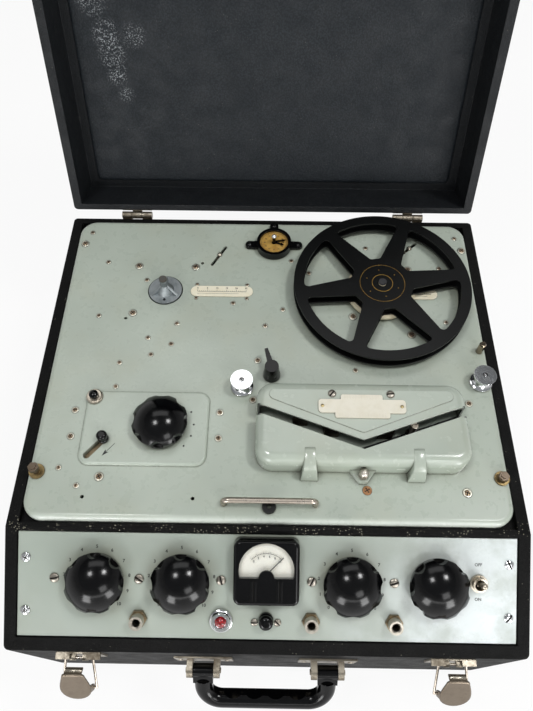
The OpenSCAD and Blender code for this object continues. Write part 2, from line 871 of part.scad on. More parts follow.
module fixing_screws() {
    color("#b4a58c") {
        for (p = small_screws) {
            on_deck(p) dome_head(2.65, 1);
        }
        for (p = medium_screws) {
            on_deck(p) dome_head(3.4, 1.3);
        }
        for (p = large_screws) {
            on_deck(p) dome_head(4.15, 1.5);
        }
        for (p = gate_screws) {
            translate([p[0], p[1], cover_top + gate_pad_h]) dome_head(3.6, 1.6);
        }
        for (p = panel_screws) {
            on_panel(p) dome_head(screw_panel_r, 1.8);
        }
        for (x = [-1, 1]) {
            on_panel([x * zero_screw_x, zero_at[1] + 3]) dome_head(3, 1.6);
        }
        for (x = [-26, 26], y = [-8.6, 8.6]) {
            on_deck([scale_left[0] + x, scale_left[1] + y]) dome_head(2, 1.2);
        }
    }
}

module lift_bar() {
    color("#a7a59c") on_deck(bar_at) rod_arch(bar_span, bar_rise, bar_r, bar_bend);
}

module motor(can_r, z0, z1, pillar_at, bore, drop) {
    flange_r = pillar_at + motor_pillar_r + 2;
    difference() {
        union() {
            translate([0, 0, z0]) cylinder(r = can_r, h = z1 - z0);
            translate([0, 0, z1 - 6]) cylinder(r = flange_r, h = 6);
            for (i = [0:3]) {
                rotate(45 + i * 90) translate([pillar_at, 0, z1 - eps])
                    cylinder(r = motor_pillar_r, h = deck_under - z1 + eps);
            }
        }
        translate([0, 0, z1 - drop]) cylinder(r = bore, h = drop + over);
    }
}

module motors() {
    color("#6f7476") {
        for (x = [-1, 1]) {
            translate([x * spool_x + spool_shift, spool_y, 0])
                motor(motor_r, motor_z[0], motor_z[1], motor_r, drive_r + run_gap, 40);
        }
        translate([capstan_at[0], capstan_at[1], 0])
            motor(capstan_motor_r, deck_z - 116, flywheel_z - 8, capstan_pillar_r, capstan_r + run_gap, 50);
    }
}

module scale_plates() {
    color("#e3ddc0") {
        on_deck(scale_left) linear_extrude(scale_t) stadium(scale_size[0], scale_size[1]);
        on_deck(scale_right) linear_extrude(scale_t) stadium(scale_right_l, scale_size[1]);
    }
}

module counter_housing() {
    lug_t = 3.5;
    color("#141414") on_deck(counter_at) difference() {
        union() {
            cylinder(r = counter_r, h = counter_h);
            for (a = [0, 90, 180]) {
                rotate(a) translate([counter_lug / 2, 0, 0])
                    linear_extrude(lug_t) stadium(counter_lug + 9, 9);
                rotate(a) translate([counter_lug, 0, lug_t - eps]) dome_head(3, 1.5);
            }
        }
        translate([0, 0, counter_floor]) cylinder(r = counter_dial_r + fit_gap, h = over);
        translate([0, 0, 2]) cylinder(r = hand_arbor_r + run_gap, h = over);
        translate([0, 0, 4]) cylinder(r = hand_tube_r + run_gap, h = over);
    }
}

module counter_dial() {
    color("#b28d3c") on_deck(counter_at, counter_floor) tube(counter_dial_r, hand_tube_r + free_gap, 0.6);
}

module clock_hand(len, w, t) {
    translate([0, -w / 2, 0]) cube([len * 0.7, w, t]);
    translate([len * 0.7 - eps, 0, 0]) linear_extrude(t) polygon([[0, -w], [len * 0.3, 0], [0, w]]);
}

module counter_short_hand() {
    color("#15130d") on_deck(counter_at) rotate(-19) {
        difference() {
            union() {
                translate([0, 0, 4.4]) cylinder(r = hand_tube_r, h = 3.2);
                translate([0, 0, 7.1]) clock_hand(11, 2, 0.5);
            }
            cylinder(r = hand_arbor_r + run_gap, h = over);
        }
    }
}

module counter_long_hand() {
    color("#15130d") on_deck(counter_at) rotate(11) {
        translate([0, 0, 2.3]) cylinder(r = hand_arbor_r, h = 6);
        translate([0, 0, 8]) clock_hand(13.2, 1.7, 0.5);
        translate([0, 0, 8]) cylinder(r = 1.7, h = 8);
        translate([0, 0, 16 - eps]) dome_head(2.7, 2.6);
    }
}

// Front panel and its fittings

module front_panel() {
    color("#b4bcb6") difference() {
        on_panel([0, panel_end], -panel_t) translate([-panel_w / 2, 0, 0]) cube([panel_w, panel_h, panel_t]);
        for (x = knob_xs) {
            on_panel([x, knob_s], -over) cylinder(r = bush_r + fit_gap, h = 2 * over);
        }
        for (p = jacks) {
            on_panel(p, -over) cylinder(r = jack_bush_r + fit_gap, h = 2 * over);
        }
        on_panel(lamp_at, -over) cylinder(r = lens_r + 2 + fit_gap, h = 2 * over);
        on_panel(zero_at, -over) cylinder(r = zero_bush_r + fit_gap, h = 2 * over);
        on_panel(toggle_at, -over) cylinder(r = toggle_r + fit_gap, h = 2 * over);
        on_panel(meter_at, -over) cylinder(r = meter_barrel[0] + fit_gap, h = 2 * over);
    }
}

module dial_window(inset) {
    intersection() {
        translate([0, window_y]) circle(window_r - inset);
        translate([-over, window_flat + inset]) square(2 * over);
    }
}

module meter_case() {
    rib = [1.5, meter_d / 2 + window_flat - 6, 1.2];
    rib_y = -meter_d / 2 + 4;
    color("#121315") on_panel(meter_at) difference() {
        union() {
            slab(meter_w, meter_d, meter_h, meter_corner, meter_edge);
            translate([0, 0, -meter_barrel[1]]) cylinder(r = meter_barrel[0], h = meter_barrel[1] + 1);
            for (x = [-13, -10, 8.5, 11.5]) {
                translate([x, rib_y, meter_h - eps]) cube(rib);
            }
        }
        difference() {
            translate([0, 0, meter_floor]) linear_extrude(over) dial_window(0);
            translate([0, window_flat, needle_z + 1]) cylinder(r = dome_r, h = over);
        }
        translate([0, pivot_y, meter_floor - arbor_len - 0.5])
            cylinder(r = arbor_r + run_gap, h = arbor_len + 1);
    }
}

module meter_dial() {
    color("#e9e4d2") on_panel(meter_at, meter_floor) difference() {
        linear_extrude(dial_t) dial_window(fit_gap);
        translate([0, pivot_y, -over]) cylinder(r = arbor_r + free_gap, h = 2 * over);
    }
}

module meter_glass() {
    color("#dfeaea", 0.3) on_panel(meter_at, meter_h - glass_sink - glass_t) difference() {
        linear_extrude(glass_t) dial_window(fit_gap);
        translate([0, window_flat, -over]) cylinder(r = dome_r + fit_gap, h = 2 * over);
    }
}

module meter_needle() {
    color("#101010") on_panel(meter_at) translate([0, pivot_y, 0]) {
        translate([0, 0, meter_floor - arbor_len])
            cylinder(r = arbor_r, h = needle_z - meter_floor + arbor_len);
        translate([0, 0, needle_z - 0.5]) cylinder(r = 1.8, h = 1);
        rotate(needle_rest) translate([-0.4, 0, needle_z - 0.2]) cube([0.8, needle_len, 0.5]);
    }
}

module jack_sockets() {
    color("#c3bda9") for (p = jacks) {
        on_panel(p) difference() {
            union() {
                translate([0, 0, -panel_t - jack_len]) cylinder(r = 8.5, h = jack_len);
                translate([0, 0, -panel_t - eps]) cylinder(r = jack_bush_r, h = panel_t + jack_face + eps);
                cylinder(r = jack_nut_r, h = 3, $fn = 6);
            }
            translate([0, 0, -panel_t - jack_len + 4]) cylinder(r = jack_r, h = 2 * over);
            translate([0, 0, jack_face - jack_mouth])
                cylinder(r1 = jack_r, r2 = jack_r + jack_mouth, h = jack_mouth + eps);
        }
    }
}

module lamp_bezel() {
    color("#cfd2d3") on_panel(lamp_at) {
        difference() {
            union() {
                rotate_extrude() difference() {
                    square([lamp_r, 5.5]);
                    translate([lamp_r + 1.5, 6.5]) circle(4);
                }
                translate([0, 0, -panel_t - 20]) cylinder(r = lens_r + 2, h = 21 + panel_t);
            }
            translate([0, 0, -6]) cylinder(r = lens_r + fit_gap, h = over);
        }
    }
}

module lamp_lens() {
    color("#b3121d") on_panel(lamp_at) {
        translate([0, 0, -6]) cylinder(r = lens_r, h = 11);
        translate([0, 0, 5]) dome_head(lens_r, 3.5);
    }
}

module control_bushes() {
    color("#c9c4b6") {
        on_panel(toggle_at) {
            difference() {
                union() {
                    translate([-8, -14, -panel_t - 18]) cube([16, 28, 18]);
                    translate([0, 0, -panel_t - eps]) cylinder(r = toggle_r, h = panel_t + 6.5);
                    cylinder(r = toggle_r + 1.3, h = 3);
                }
                translate([0, 0, toggle_pivot]) cylinder(r1 = 3.6, r2 = 5.2, h = 8);
                translate([0, 0, toggle_pivot - 6]) cylinder(r = 3.6, h = 6 + eps);
            }
            translate([0, 0, toggle_pivot]) lying_x(toggle_pin_r, 2 * toggle_r - 2);
        }
        translate([stop_at[0], stop_at[1], plat_z]) difference() {
            union() {
                rotate_extrude() difference() {
                    square([stop_collar_r, 3]);
                    translate([stop_collar_r + 1, 4]) circle(2.4);
                }
                translate([0, 0, -plat_h - deck_t - 12]) cylinder(r = bush_r, h = 13 + plat_h + deck_t);
            }
            translate([0, 0, -plat_h - deck_t - 10]) cylinder(r = stop_r + run_gap, h = over + 20);
        }
    }
}

// Control under a panel: a can, and a bush with its nut through a wall of thickness t
module control(can_r, can_h, t) {
    difference() {
        union() {
            translate([0, 0, -t - can_h]) cylinder(r = can_r, h = can_h);
            translate([0, 0, -t - eps]) cylinder(r = bush_r, h = t + bush_h + eps);
            cylinder(r = 8, h = nut_h, $fn = 6);
        }
        translate([0, 0, -t - can_h / 2 - 1]) cylinder(r = shaft_r + run_gap, h = can_h + over);
    }
}

module control_pots() {
    color("#8f8c82") {
        for (x = knob_xs) {
            on_panel([x, knob_s]) control(pot_r, pot_h, panel_t);
        }
        on_panel(zero_at) difference() {
            union() {
                translate([0, 0, -panel_t - 14]) cylinder(r = 8, h = 14);
                translate([0, 0, -panel_t - eps]) cylinder(r = zero_bush_r, h = panel_t + 0.5);
            }
            translate([0, 0, -panel_t - 10]) cylinder(r = 2 + run_gap, h = over);
        }
        translate([func_at[0], func_at[1], plat_z]) control(20, 25, plat_h + deck_t);
        on_deck(speed_at) difference() {
            union() {
                translate([0, 0, -deck_t - 16]) cylinder(r = 12, h = 16);
                translate([0, 0, -deck_t - eps]) cylinder(r = bush_r, h = deck_t + eps);
            }
            translate([0, 0, -deck_t - 9]) cylinder(r = shaft_r + run_gap, h = over);
        }
    }
}

// Moulded knob with a domed top, finger flutes and a slightly drawn-in foot
module knob(shaft) {
    foot_r0 = knob_r - 1.8;
    dome = knob_h - knob_rim;
    dome_ball = (knob_r * knob_r + dome * dome) / (2 * dome);
    difference() {
        rotate_extrude() {
            polygon([[0, 0], [foot_r0, 0], [knob_r, knob_rim - 2], [knob_r, knob_rim], [0, knob_rim]]);
            intersection() {
                translate([0, knob_h - dome_ball]) circle(dome_ball);
                translate([0, knob_rim - eps]) square([knob_r, dome + eps]);
            }
        }
        for (i = [0:knob_flutes - 1]) {
            rotate(i * 360 / knob_flutes) translate([knob_r + flute_r - flute_depth, 0, knob_skirt])
                cylinder(r = flute_r, h = knob_h);
        }
        translate([0, 0, -eps]) cylinder(r = knob_recess[0], h = knob_recess[1] + eps);
    }
    translate([0, 0, -shaft]) cylinder(r = shaft_r, h = shaft + knob_recess[1] + eps);
}

module panel_knob(i) {
    color("#0f0f11") on_panel([knob_xs[i], knob_s], knob_gap) knob(knob_gap + panel_t + pot_h / 2);
}

module bass_knob() {
    panel_knob(0);
}

module treble_knob() {
    panel_knob(1);
}

module gain_knob() {
    panel_knob(2);
}

module selector_knob() {
    panel_knob(3);
}

module function_knob() {
    color("#0f0f11") translate([func_at[0], func_at[1], plat_z + knob_gap])
        knob(knob_gap + plat_h + deck_t + 12);
}

module set_zero_knob() {
    color("#0f0f11") on_panel(zero_at) {
        translate([0, 0, 1]) rotate_extrude() difference() {
            edge_section(zero_r, 11, 4);
            translate([zero_r + 1.4, 4.5]) circle(2.4);
        }
        translate([0, 0, -panel_t - 9.5]) cylinder(r = 2, h = 11 + panel_t);
    }
}

module speed_knob() {
    color("#0f0f11") on_deck(speed_at) {
        translate([0, 0, 0.6]) difference() {
            cylinder(r1 = speed_r[0], r2 = speed_r[1], h = speed_h);
            for (i = [0:5]) {
                rotate(i * 60) translate([speed_r[0] + 1.6, 0, speed_h * 0.3]) cylinder(r = 2.6, h = speed_h);
            }
        }
        translate([0, 0, -deck_t - 8.5]) cylinder(r = shaft_r, h = 10 + deck_t);
        rotate(speed_pointer[1]) translate([0, 0, 13]) linear_extrude(2.4)
            polygon([[0, -3.2], [speed_pointer[0], -1.6], [speed_pointer[0], 1.6], [0, 3.2]]);
    }
}

module start_lever() {
    strip = [46, 9, 1.2];
    color("#0f0f11") on_deck(start_at) {
        translate([0, 0, plat_h + 0.8]) rotate_extrude() difference() {
            edge_section(4.8, 10, 2.5);
            translate([6.4, 3.5]) circle(2.4);
        }
        translate([0, 0, -deck_t - free_gap - strip[2]])
            cylinder(r = start_slot_w / 2 - free_gap, h = deck_t + plat_h + 3 + strip[2]);
        rotate(start_a) translate([-8, -strip[1] / 2, -deck_t - free_gap - strip[2]]) cube(strip);
    }
}

module stop_button() {
    stem = plat_h + deck_t + 10 - stop_travel - 0.5;
    color("#111111") translate([stop_at[0], stop_at[1], plat_z]) {
        translate([0, 0, -stem]) cylinder(r = stop_r, h = stem + 6.5);
        translate([0, 0, 6.5]) dome_head(stop_r, 1.8);
    }
}

module toggle_lever() {
    color("#d3d2cb") on_panel(toggle_at, toggle_pivot) rotate([-toggle_tilt, 0, 0]) difference() {
        union() {
            cylinder(r1 = 1.8, r2 = 2.6, h = 15);
            translate([0, 0, 15]) dome_head(2.6, 1.8);
            lying_x(2.7, 4);
        }
        lying_x(toggle_pin_r + run_gap, 2 * toggle_r);
    }
}

// Spools, reel and tape drive

// Hub of a spool: flange in the deck hole, spindle with three driving fins, and shaft down into the motor
module spool_hub() {
    difference() {
        union() {
            translate([0, 0, hub_rise - hub_t]) cylinder(r = hub_r, h = hub_t);
            cylinder(r = spindle_r, h = spindle_h);
            children();
        }
        translate([0, -hub_r + 5, -hub_t]) cylinder(r = 1.5, h = over);
    }
    translate([0, 0, motor_z[1] - deck_z - 35]) cylinder(r = drive_r, h = 39 - motor_z[1] + deck_z - hub_t);
}

module left_turntable() {
    fin = [[0, 0], [fin_r, 0], [fin_r, 1], [spindle_r, cone_h], [0, cone_h]];
    color("#83878a") on_deck(left_spool) spool_hub() {
        translate([0, 0, hub_rise - eps]) cylinder(r1 = cone_r, r2 = spindle_r, h = cone_h);
        for (i = [0:2]) {
            rotate(90 + i * 120) translate([0, fin_t / 2, hub_rise - eps]) rotate([90, 0, 0])
                linear_extrude(fin_t) polygon(fin);
        }
    }
}

module right_turntable() {
    color("#dcd6bd") on_deck(right_spool) spool_hub() {
        translate([0, 0, disc_lift]) cylinder(r = disc_r, h = disc_t);
        translate([0, 0, hub_rise - eps]) cylinder(r = cone_r + 3, h = disc_lift);
    }
}

// Window between two spokes, with rounded corners
module reel_windows() {
    offset(r = window_round, $fn = 24) offset(delta = -window_round) difference() {
        circle(reel_r - reel_rim, $fn = 96);
        circle(reel_hub_r + 3, $fn = 96);
        for (i = [0:5]) {
            rotate(i * 60) polygon([
                [0, -spoke_in / 2], [reel_r, -spoke_out / 2], [reel_r, spoke_out / 2], [0, spoke_in / 2]
            ]);
        }
    }
}

module takeup_reel() {
    color("#121212") translate([right_spool[0], right_spool[1], reel_z]) difference() {
        union() {
            cylinder(r = reel_r, h = flange_t);
            cylinder(r = reel_hub_r, h = reel_h);
            translate([0, 0, reel_h - flange_t]) cylinder(r = reel_r, h = flange_t);
        }
        translate([0, 0, -over]) rotate(reel_turn) linear_extrude(3 * over) reel_windows();
        translate([0, 0, -over]) cylinder(r = reel_bore_r, h = 3 * over);
    }
}

module capstan_flywheel() {
    bottom = flywheel_z - 8 - 45;
    color("#7d8184") translate([capstan_at[0], capstan_at[1], 0]) {
        translate([0, 0, bottom]) cylinder(r = capstan_r, h = deck_z + 18 - bottom);
        difference() {
            translate([0, 0, flywheel_z]) cylinder(r = flywheel_r, h = flywheel_t);
            translate([0, 0, flywheel_z + 4]) tube(flywheel_r - 8, 14, flywheel_t);
        }
    }
}

module pinch_arm() {
    color("#9a9b98") translate([pinch_pivot[0], pinch_pivot[1], pinch_z]) rotate(pinch_arm_a) {
        linear_extrude(arm_t) translate([pinch_arm_len / 2, 0]) stadium(pinch_arm_len + 9, 9);
        translate([0, 0, arm_t - eps]) cylinder(r = 4.5, h = 6);
        translate([0, 0, -7.5]) cylinder(r = pinch_pin_r, h = 8);
        translate([pinch_arm_len, 0, 0]) cylinder(r = pinch_axle_r, h = 14);
    }
}

module pinch_wheel() {
    at = pinch_pivot + pinch_arm_len * [cos(pinch_arm_a), sin(pinch_arm_a)];
    color("#1a1a1a") translate([at[0], at[1], pinch_z + arm_t + free_gap])
        tube(pinch_r, pinch_axle_r + run_gap, 9);
}

// Pin of a brake lever in its slot, on a slide under the deck
module brake_pin(at, a) {
    color("#b8b6ae") on_deck(at) rotate(a) {
        translate([0, 0, -deck_t - free_gap - 3]) cylinder(r = brake_pin_r, h = deck_t + free_gap + 4);
        translate([0, 0, 1 - eps]) dome_head(brake_head_r, 1.6);
        translate([-5, -4, -deck_t - free_gap - 3]) cube([10, 8, 3]);
    }
}

module left_brake_pin() {
    brake_pin(left_brake_at, left_brake_a);
}

module right_brake_pin() {
    brake_pin(right_brake_at, right_brake_a);
}

// Handle and latches on the front

module handle_brackets() {
    ear_x = eye_w / 2 + free_gap;
    color("#9a9284") for (x = [-handle_x, handle_x]) {
        translate([x, front_y, bracket_z]) {
            translate([-bracket_plate[0] / 2, -bracket_plate[2], -bracket_plate[1] / 2]) cube(
                [bracket_plate[0], bracket_plate[2], bracket_plate[1]]);
            for (s = [-1, 1]) {
                translate([s * (ear_x + ear_t / 2), -bracket_out, 0]) {
                    lying_x(eye_r, ear_t);
                    translate([-ear_t / 2, 0, -eye_r]) cube([ear_t, bracket_out - eps, 2 * eye_r]);
                }
            }
            translate([0, -bracket_out, 0]) lying_x(bracket_pin_r, 2 * ear_x + 2 * ear_t + 2);
        }
    }
}

module handle_grip() {
    hollow_r = 15;
    hollow_depth = 2.4;
    hollow_step = (2 * handle_x - 2 * handle_bend) / finger_count;
    hollow_y = -handle_reach + grip_r + hollow_r - hollow_depth;
    arm_start = eye_r + 1.2;
    color("#101012") translate([0, front_y - bracket_out, bracket_z]) rotate([handle_droop, 0, 0]) {
        difference() {
            union() {
                for (x = [-handle_x, handle_x]) {
                    translate([x, 0, 0]) lying_x(eye_r - 0.5, eye_w);
                    translate([x - eye_w / 2, -arm_start - 2, -eye_r + 1])
                        cube([eye_w, arm_start + 2, 2 * eye_r - 2]);
                }
                translate([0, -arm_start, 0]) rotate([90, 0, 0])
                    rod_arch(2 * handle_x, handle_reach - arm_start, grip_r, handle_bend);
            }
            for (x = [-handle_x, handle_x]) {
                translate([x, 0, 0]) lying_x(bracket_pin_r + run_gap, eye_w + 2);
            }
            for (i = [0:finger_count - 1]) {
                translate([(i - (finger_count - 1) / 2) * hollow_step, hollow_y, 0])
                    cylinder(r = hollow_r, h = 3 * grip_r, center = true);
            }
        }
    }
}

module latch_plates() {
    block = [12, 5.8, 3.2];
    knuckle_r = 2.4;
    knuckle_w = 5;
    color("#a8a093") for (x = [-latch_x, latch_x]) {
        translate([x, front_y, link_at[1]]) difference() {
            union() {
                translate([-latch_plate[0] / 2, -latch_plate[2], 6 - latch_plate[1]])
                    cube([latch_plate[0], latch_plate[2], latch_plate[1]]);
                for (m = [0, 1]) {
                    mirror([m, 0, 0]) {
                        translate([latch_plate[0] / 2 - block[0], -block[1], 6 - block[2]]) cube(block);
                        translate([3, -4, -knuckle_r]) cube([knuckle_w, 4, 2 * knuckle_r]);
                        translate([3 + knuckle_w / 2, -4, 0]) lying_x(knuckle_r, knuckle_w);
                    }
                }
            }
            translate([0, link_at[0] - front_y, 0]) lying_x(wire_r + run_gap, latch_w);
        }
    }
}

// Latch lever: round-ended tongue, claw at its top, and two ears that turn on the wire link
module latch_lever(x) {
    ear_x = latch_w / 2 - 1.2;
    ear_r = 2.6;
    color("#8d7f68") translate([x, lever_at[0], lever_at[1]]) rotate([latch_droop, 0, 0]) difference() {
        union() {
            translate([0, latch_w / 2 - lever_tip, lever_face]) linear_extrude(latch_t) {
                translate([-latch_w / 2, 0]) square([latch_w, latch_len - latch_w / 2]);
                circle(latch_w / 2);
            }
            for (s = [-1, 1]) {
                translate([s * ear_x, 0, 0]) {
                    lying_x(ear_r, latch_t);
                    along_x(latch_t) polygon([
                        [-ear_r + 0.3, 0], [1.5, -2], [14, lever_face + eps], [5, lever_face + eps]
                    ]);
                }
            }
            translate([-claw[0] / 2, latch_len - lever_tip - latch_t, lever_face - claw[1]])
                cube([claw[0], latch_t, claw[1] + eps]);
        }
        lying_x(wire_r + run_gap, 2 * latch_w);
    }
}

// Wire link: a bar through the knuckles of the plate, two legs, and stubs into the ears of the lever
module latch_bail(x) {
    spread = link_half[1] - link_half[0];
    stub = 5;
    color("#b0a894") translate([x, link_at[0], link_at[1]]) rotate([link_droop, 0, 0]) {
        lying_x(wire_r, 2 * link_half[0]);
        for (m = [0, 1]) {
            mirror([m, 0, 0]) {
                translate([link_half[0], 0, 0]) {
                    sphere(wire_r + eps);
                    rotate(atan2(spread, link_len)) rotate([90, 0, 0])
                        cylinder(r = wire_r, h = norm([spread, link_len]));
                }
                translate([link_half[1], -link_len, 0]) {
                    sphere(wire_r + eps);
                    rotate([0, -90, 0]) cylinder(r = wire_r, h = stub);
                }
            }
        }
    }
}

module left_latch_lever() {
    latch_lever(-latch_x);
}

module right_latch_lever() {
    latch_lever(latch_x);
}

module left_latch_bail() {
    latch_bail(-latch_x);
}

module right_latch_bail() {
    latch_bail(latch_x);
}

// Amplifier and mains pieces inside the case

module amplifier_chassis() {
    color("#9da3a5") translate([chassis_at[0], chassis_at[1], floor_t]) difference() {
        translate([0, 0, chassis_size[2] / 2]) cube(chassis_size, center = true);
        translate([0, 0, chassis_size[2] / 2 - chassis_t])
            cube(chassis_size - [2 * chassis_t, 2 * chassis_t, 0], center = true);
    }
}

module valves() {
    top_z = floor_t + chassis_size[2];
    color("#cfd8d8") for (x = valve_xs) {
        translate([x, chassis_at[1] + 15, top_z]) {
            cylinder(r = valve_r + 2, h = 8);
            translate([0, 0, 8 - eps]) cylinder(r = valve_r, h = valve_h - 8 - valve_r);
            translate([0, 0, valve_h - valve_r - eps]) dome_head(valve_r, valve_r);
        }
    }
}

// Transformer: a laminated core with its winding through the middle
module transformer(core, coil) {
    translate([0, 0, core[2] / 2]) cube(core, center = true);
    translate([0, 0, core[2] / 2]) cube(coil, center = true);
}

module transformers() {
    color("#5d5147") {
        translate([135, chassis_at[1] - 4, floor_t]) transformer([84, 44, 72], [54, 72, 46]);
        translate([0, spool_y - 20, floor_t]) transformer([58, 30, 50], [38, 50, 30]);
    }
}

module mains_inlet() {
    depth = 24;
    color("#161616") translate([inlet_at[0], back_y, inlet_at[1]]) rotate([-90, 0, 0]) {
        difference() {
            union() {
                translate([0, 0, -depth]) cylinder(r = inlet_r, h = depth);
                cylinder(r = inlet_flange_r, h = 2.5);
            }
            translate([0, 0, -depth + 5]) cylinder(r = inlet_r - 2, h = 2 * depth);
        }
        for (a = [90, 210, 330]) {
            rotate(a) translate([5, 0, -depth + 5 - eps]) cylinder(r = 1.6, h = 14);
        }
    }
}

cabinet();
rubber_buffer();
cabinet_hinge_leaves();
deck_plate();
head_cover();
head_gate();
nameplate();
tape_heads();
tape_guides();
deck_bolts();
fixing_screws();
lift_bar();
motors();
front_panel();
meter_case();
meter_dial();
meter_glass();
jack_sockets();
lamp_bezel();
lamp_lens();
control_bushes();
control_pots();
scale_plates();
counter_housing();
counter_dial();
handle_brackets();
latch_plates();
amplifier_chassis();
transformers();
valves();
mains_inlet();
lid_shell();
lid_hinge_leaves();
lid_catch_plates();
left_turntable();
right_turntable();
takeup_reel();
capstan_flywheel();
pinch_arm();
pinch_wheel();
function_knob();
speed_knob();
start_lever();
stop_button();
bass_knob();
treble_knob();
gain_knob();
selector_knob();
set_zero_knob();
toggle_lever();
meter_needle();
left_brake_pin();
right_brake_pin();
counter_long_hand();
counter_short_hand();
handle_grip();
left_latch_lever();
right_latch_lever();
left_latch_bail();
right_latch_bail();
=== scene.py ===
import json
import math

import bmesh
import bpy
from mathutils import Matrix, Vector


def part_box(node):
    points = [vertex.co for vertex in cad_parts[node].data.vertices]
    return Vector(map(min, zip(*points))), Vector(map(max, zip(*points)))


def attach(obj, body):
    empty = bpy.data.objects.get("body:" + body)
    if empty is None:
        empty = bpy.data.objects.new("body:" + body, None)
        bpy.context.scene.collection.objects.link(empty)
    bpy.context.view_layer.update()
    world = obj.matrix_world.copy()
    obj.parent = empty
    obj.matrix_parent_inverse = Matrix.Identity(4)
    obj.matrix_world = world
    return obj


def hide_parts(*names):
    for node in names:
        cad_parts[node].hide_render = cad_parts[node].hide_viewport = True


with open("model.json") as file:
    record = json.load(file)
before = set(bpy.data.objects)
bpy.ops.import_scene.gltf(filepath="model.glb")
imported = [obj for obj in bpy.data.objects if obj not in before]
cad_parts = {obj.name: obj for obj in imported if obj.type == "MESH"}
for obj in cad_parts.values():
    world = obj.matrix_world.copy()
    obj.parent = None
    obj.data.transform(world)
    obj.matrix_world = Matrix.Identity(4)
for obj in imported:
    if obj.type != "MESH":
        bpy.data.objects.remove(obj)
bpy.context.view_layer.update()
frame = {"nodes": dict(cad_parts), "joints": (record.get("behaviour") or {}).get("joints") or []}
nodes = frame["nodes"]
joints = {j["name"]: j for j in frame["joints"]}

# Places that follow the CAD source, in millimetres
MM = 0.001
RIM_Z, KINK_Y, FRONT_Y = 212.0, -127.0, -218.0
SLOPE = math.atan2(52.0, 91.0)
PANEL_RECESS = 1.0
DECK_Z, PLATFORM_Z = 218.0, 221.0
HINGE_Y, HINGE_Z, LID_OPEN = 224.0, 212.0, math.radians(111.0)
COVER_X, COVER_FRONT = 82.2, -77.0
FUNCTION, START, START_TURN = (-97.5, -36.0), (-147.8, -50.2), 230
COUNTER, COUNTER_FACE = (2.5, 175.8), 6.6
REEL = (112.1, 116.0)
NUMBERED_KNOBS = ("bass_turn", "treble_turn", "gain_turn")
PANEL_KNOBS = NUMBERED_KNOBS + ("selector_turn",)

# Height of a printed mark, in millimetres
INK = 0.05


# Frames that take millimetres to their place in the object

def flat(x, y, z, turn=0.0):
    """Level frame at a point; X to the right, Z up, turned in degrees."""
    place = Matrix.Translation(Vector((x, y, z)) * MM)
    return place @ Matrix.Rotation(math.radians(turn), 4, "Z") @ Matrix.Scale(MM, 4)


def panel(x, s, off=0.0, turn=0.0):
    """Frame on the sloping panel, s down from its upper edge; Y up the slope, Z out of the panel."""
    place = Matrix.Translation(Vector((x, KINK_Y, RIM_Z)) * MM) @ Matrix.Rotation(SLOPE, 4, "X")
    place = place @ Matrix.Translation(Vector((0, -s, off - PANEL_RECESS)) * MM)
    return place @ Matrix.Rotation(math.radians(turn), 4, "Z") @ Matrix.Scale(MM, 4)


def in_lid(x, y, z):
    """Frame of the lid at a point that is given as if the lid were shut."""
    hinge = Matrix.Translation(Vector((0, HINGE_Y, HINGE_Z)) * MM)
    place = hinge @ Matrix.Rotation(-LID_OPEN, 4, "X")
    place = place @ Matrix.Translation(Vector((x, y - HINGE_Y, z - HINGE_Z)) * MM)
    return place @ Matrix.Scale(MM, 4)


def front(x, z, off=0.0):
    """Frame on the front wall of the case; Y up, Z out of the wall."""
    place = Matrix.Translation(Vector((x, FRONT_Y - off, z)) * MM)
    return place @ Matrix.Rotation(math.pi / 2, 4, "X") @ Matrix.Scale(MM, 4)


def panel_height(node):
    """How far a node stands out of the panel, in millimetres."""
    back = panel(0, 0).inverted()
    return max((back @ v.co).z for v in nodes[node].data.vertices)


# Materials

# Tape slot, in metres, painted near black as its shade: its middle line is a V with its point at
# SLOT_X; pairs fade from 1 to 0
SLOT_X, SLOT_SLOPE, SLOT_DROP = 0.0822, 34.0 / 93.75, 0.060
SLOT_TOP, SLOT_HALF, SLOT_END = (0.2392, 0.2416), (0.0054, 0.0060), (0.0920, 0.0934)

# Old oil on the deck: place, reach and fade in metres, and strength
SMEARS = (
    ((0.060, -0.106, 0.218), 0.004, 0.022, 0.30),
    ((-0.1089, 0.116, 0.218), 0.018, 0.014, 0.35),
    ((0.0, -0.092, 0.218), 0.002, 0.03, 0.2),
)
# Painted highlight on the front edge of the deck: where its pale band ends and fades, in metres from
# the edge
EDGE_HIGHLIGHT = (0.0012, 0.0045)

# Wear and painted light on the panel, in metres: reach and fade of the darker ring of grime and painted
# shade round a knob, and the plane the rubbed paint, painted bright as its sheen, starts at
KNOB_GRIME_AND_SHADE = (0.024, 0.016)
RUBBED_SHEEN_FROM, RUBBED_SHEEN_WAY, RUBBED_SHEEN_FADE = (0.120, -0.180, 0.185), (0.80, -0.60, 0.0), 0.075

# Litter on the strip before the deck, in metres: its height, its middle and half its depth
LITTER_Z, LITTER_Y, LITTER_HALF = (0.2085, 0.2105), -0.1245, (0.003, 0.010)


def rgb(r, g, b):
    """Screen colour, 0 to 255, as the shader's linear colour."""
    def linear(c):
        c /= 255.0
        return c / 12.92 if c <= 0.04045 else ((c + 0.055) / 1.055) ** 2.4
    return (linear(r), linear(g), linear(b), 1.0)


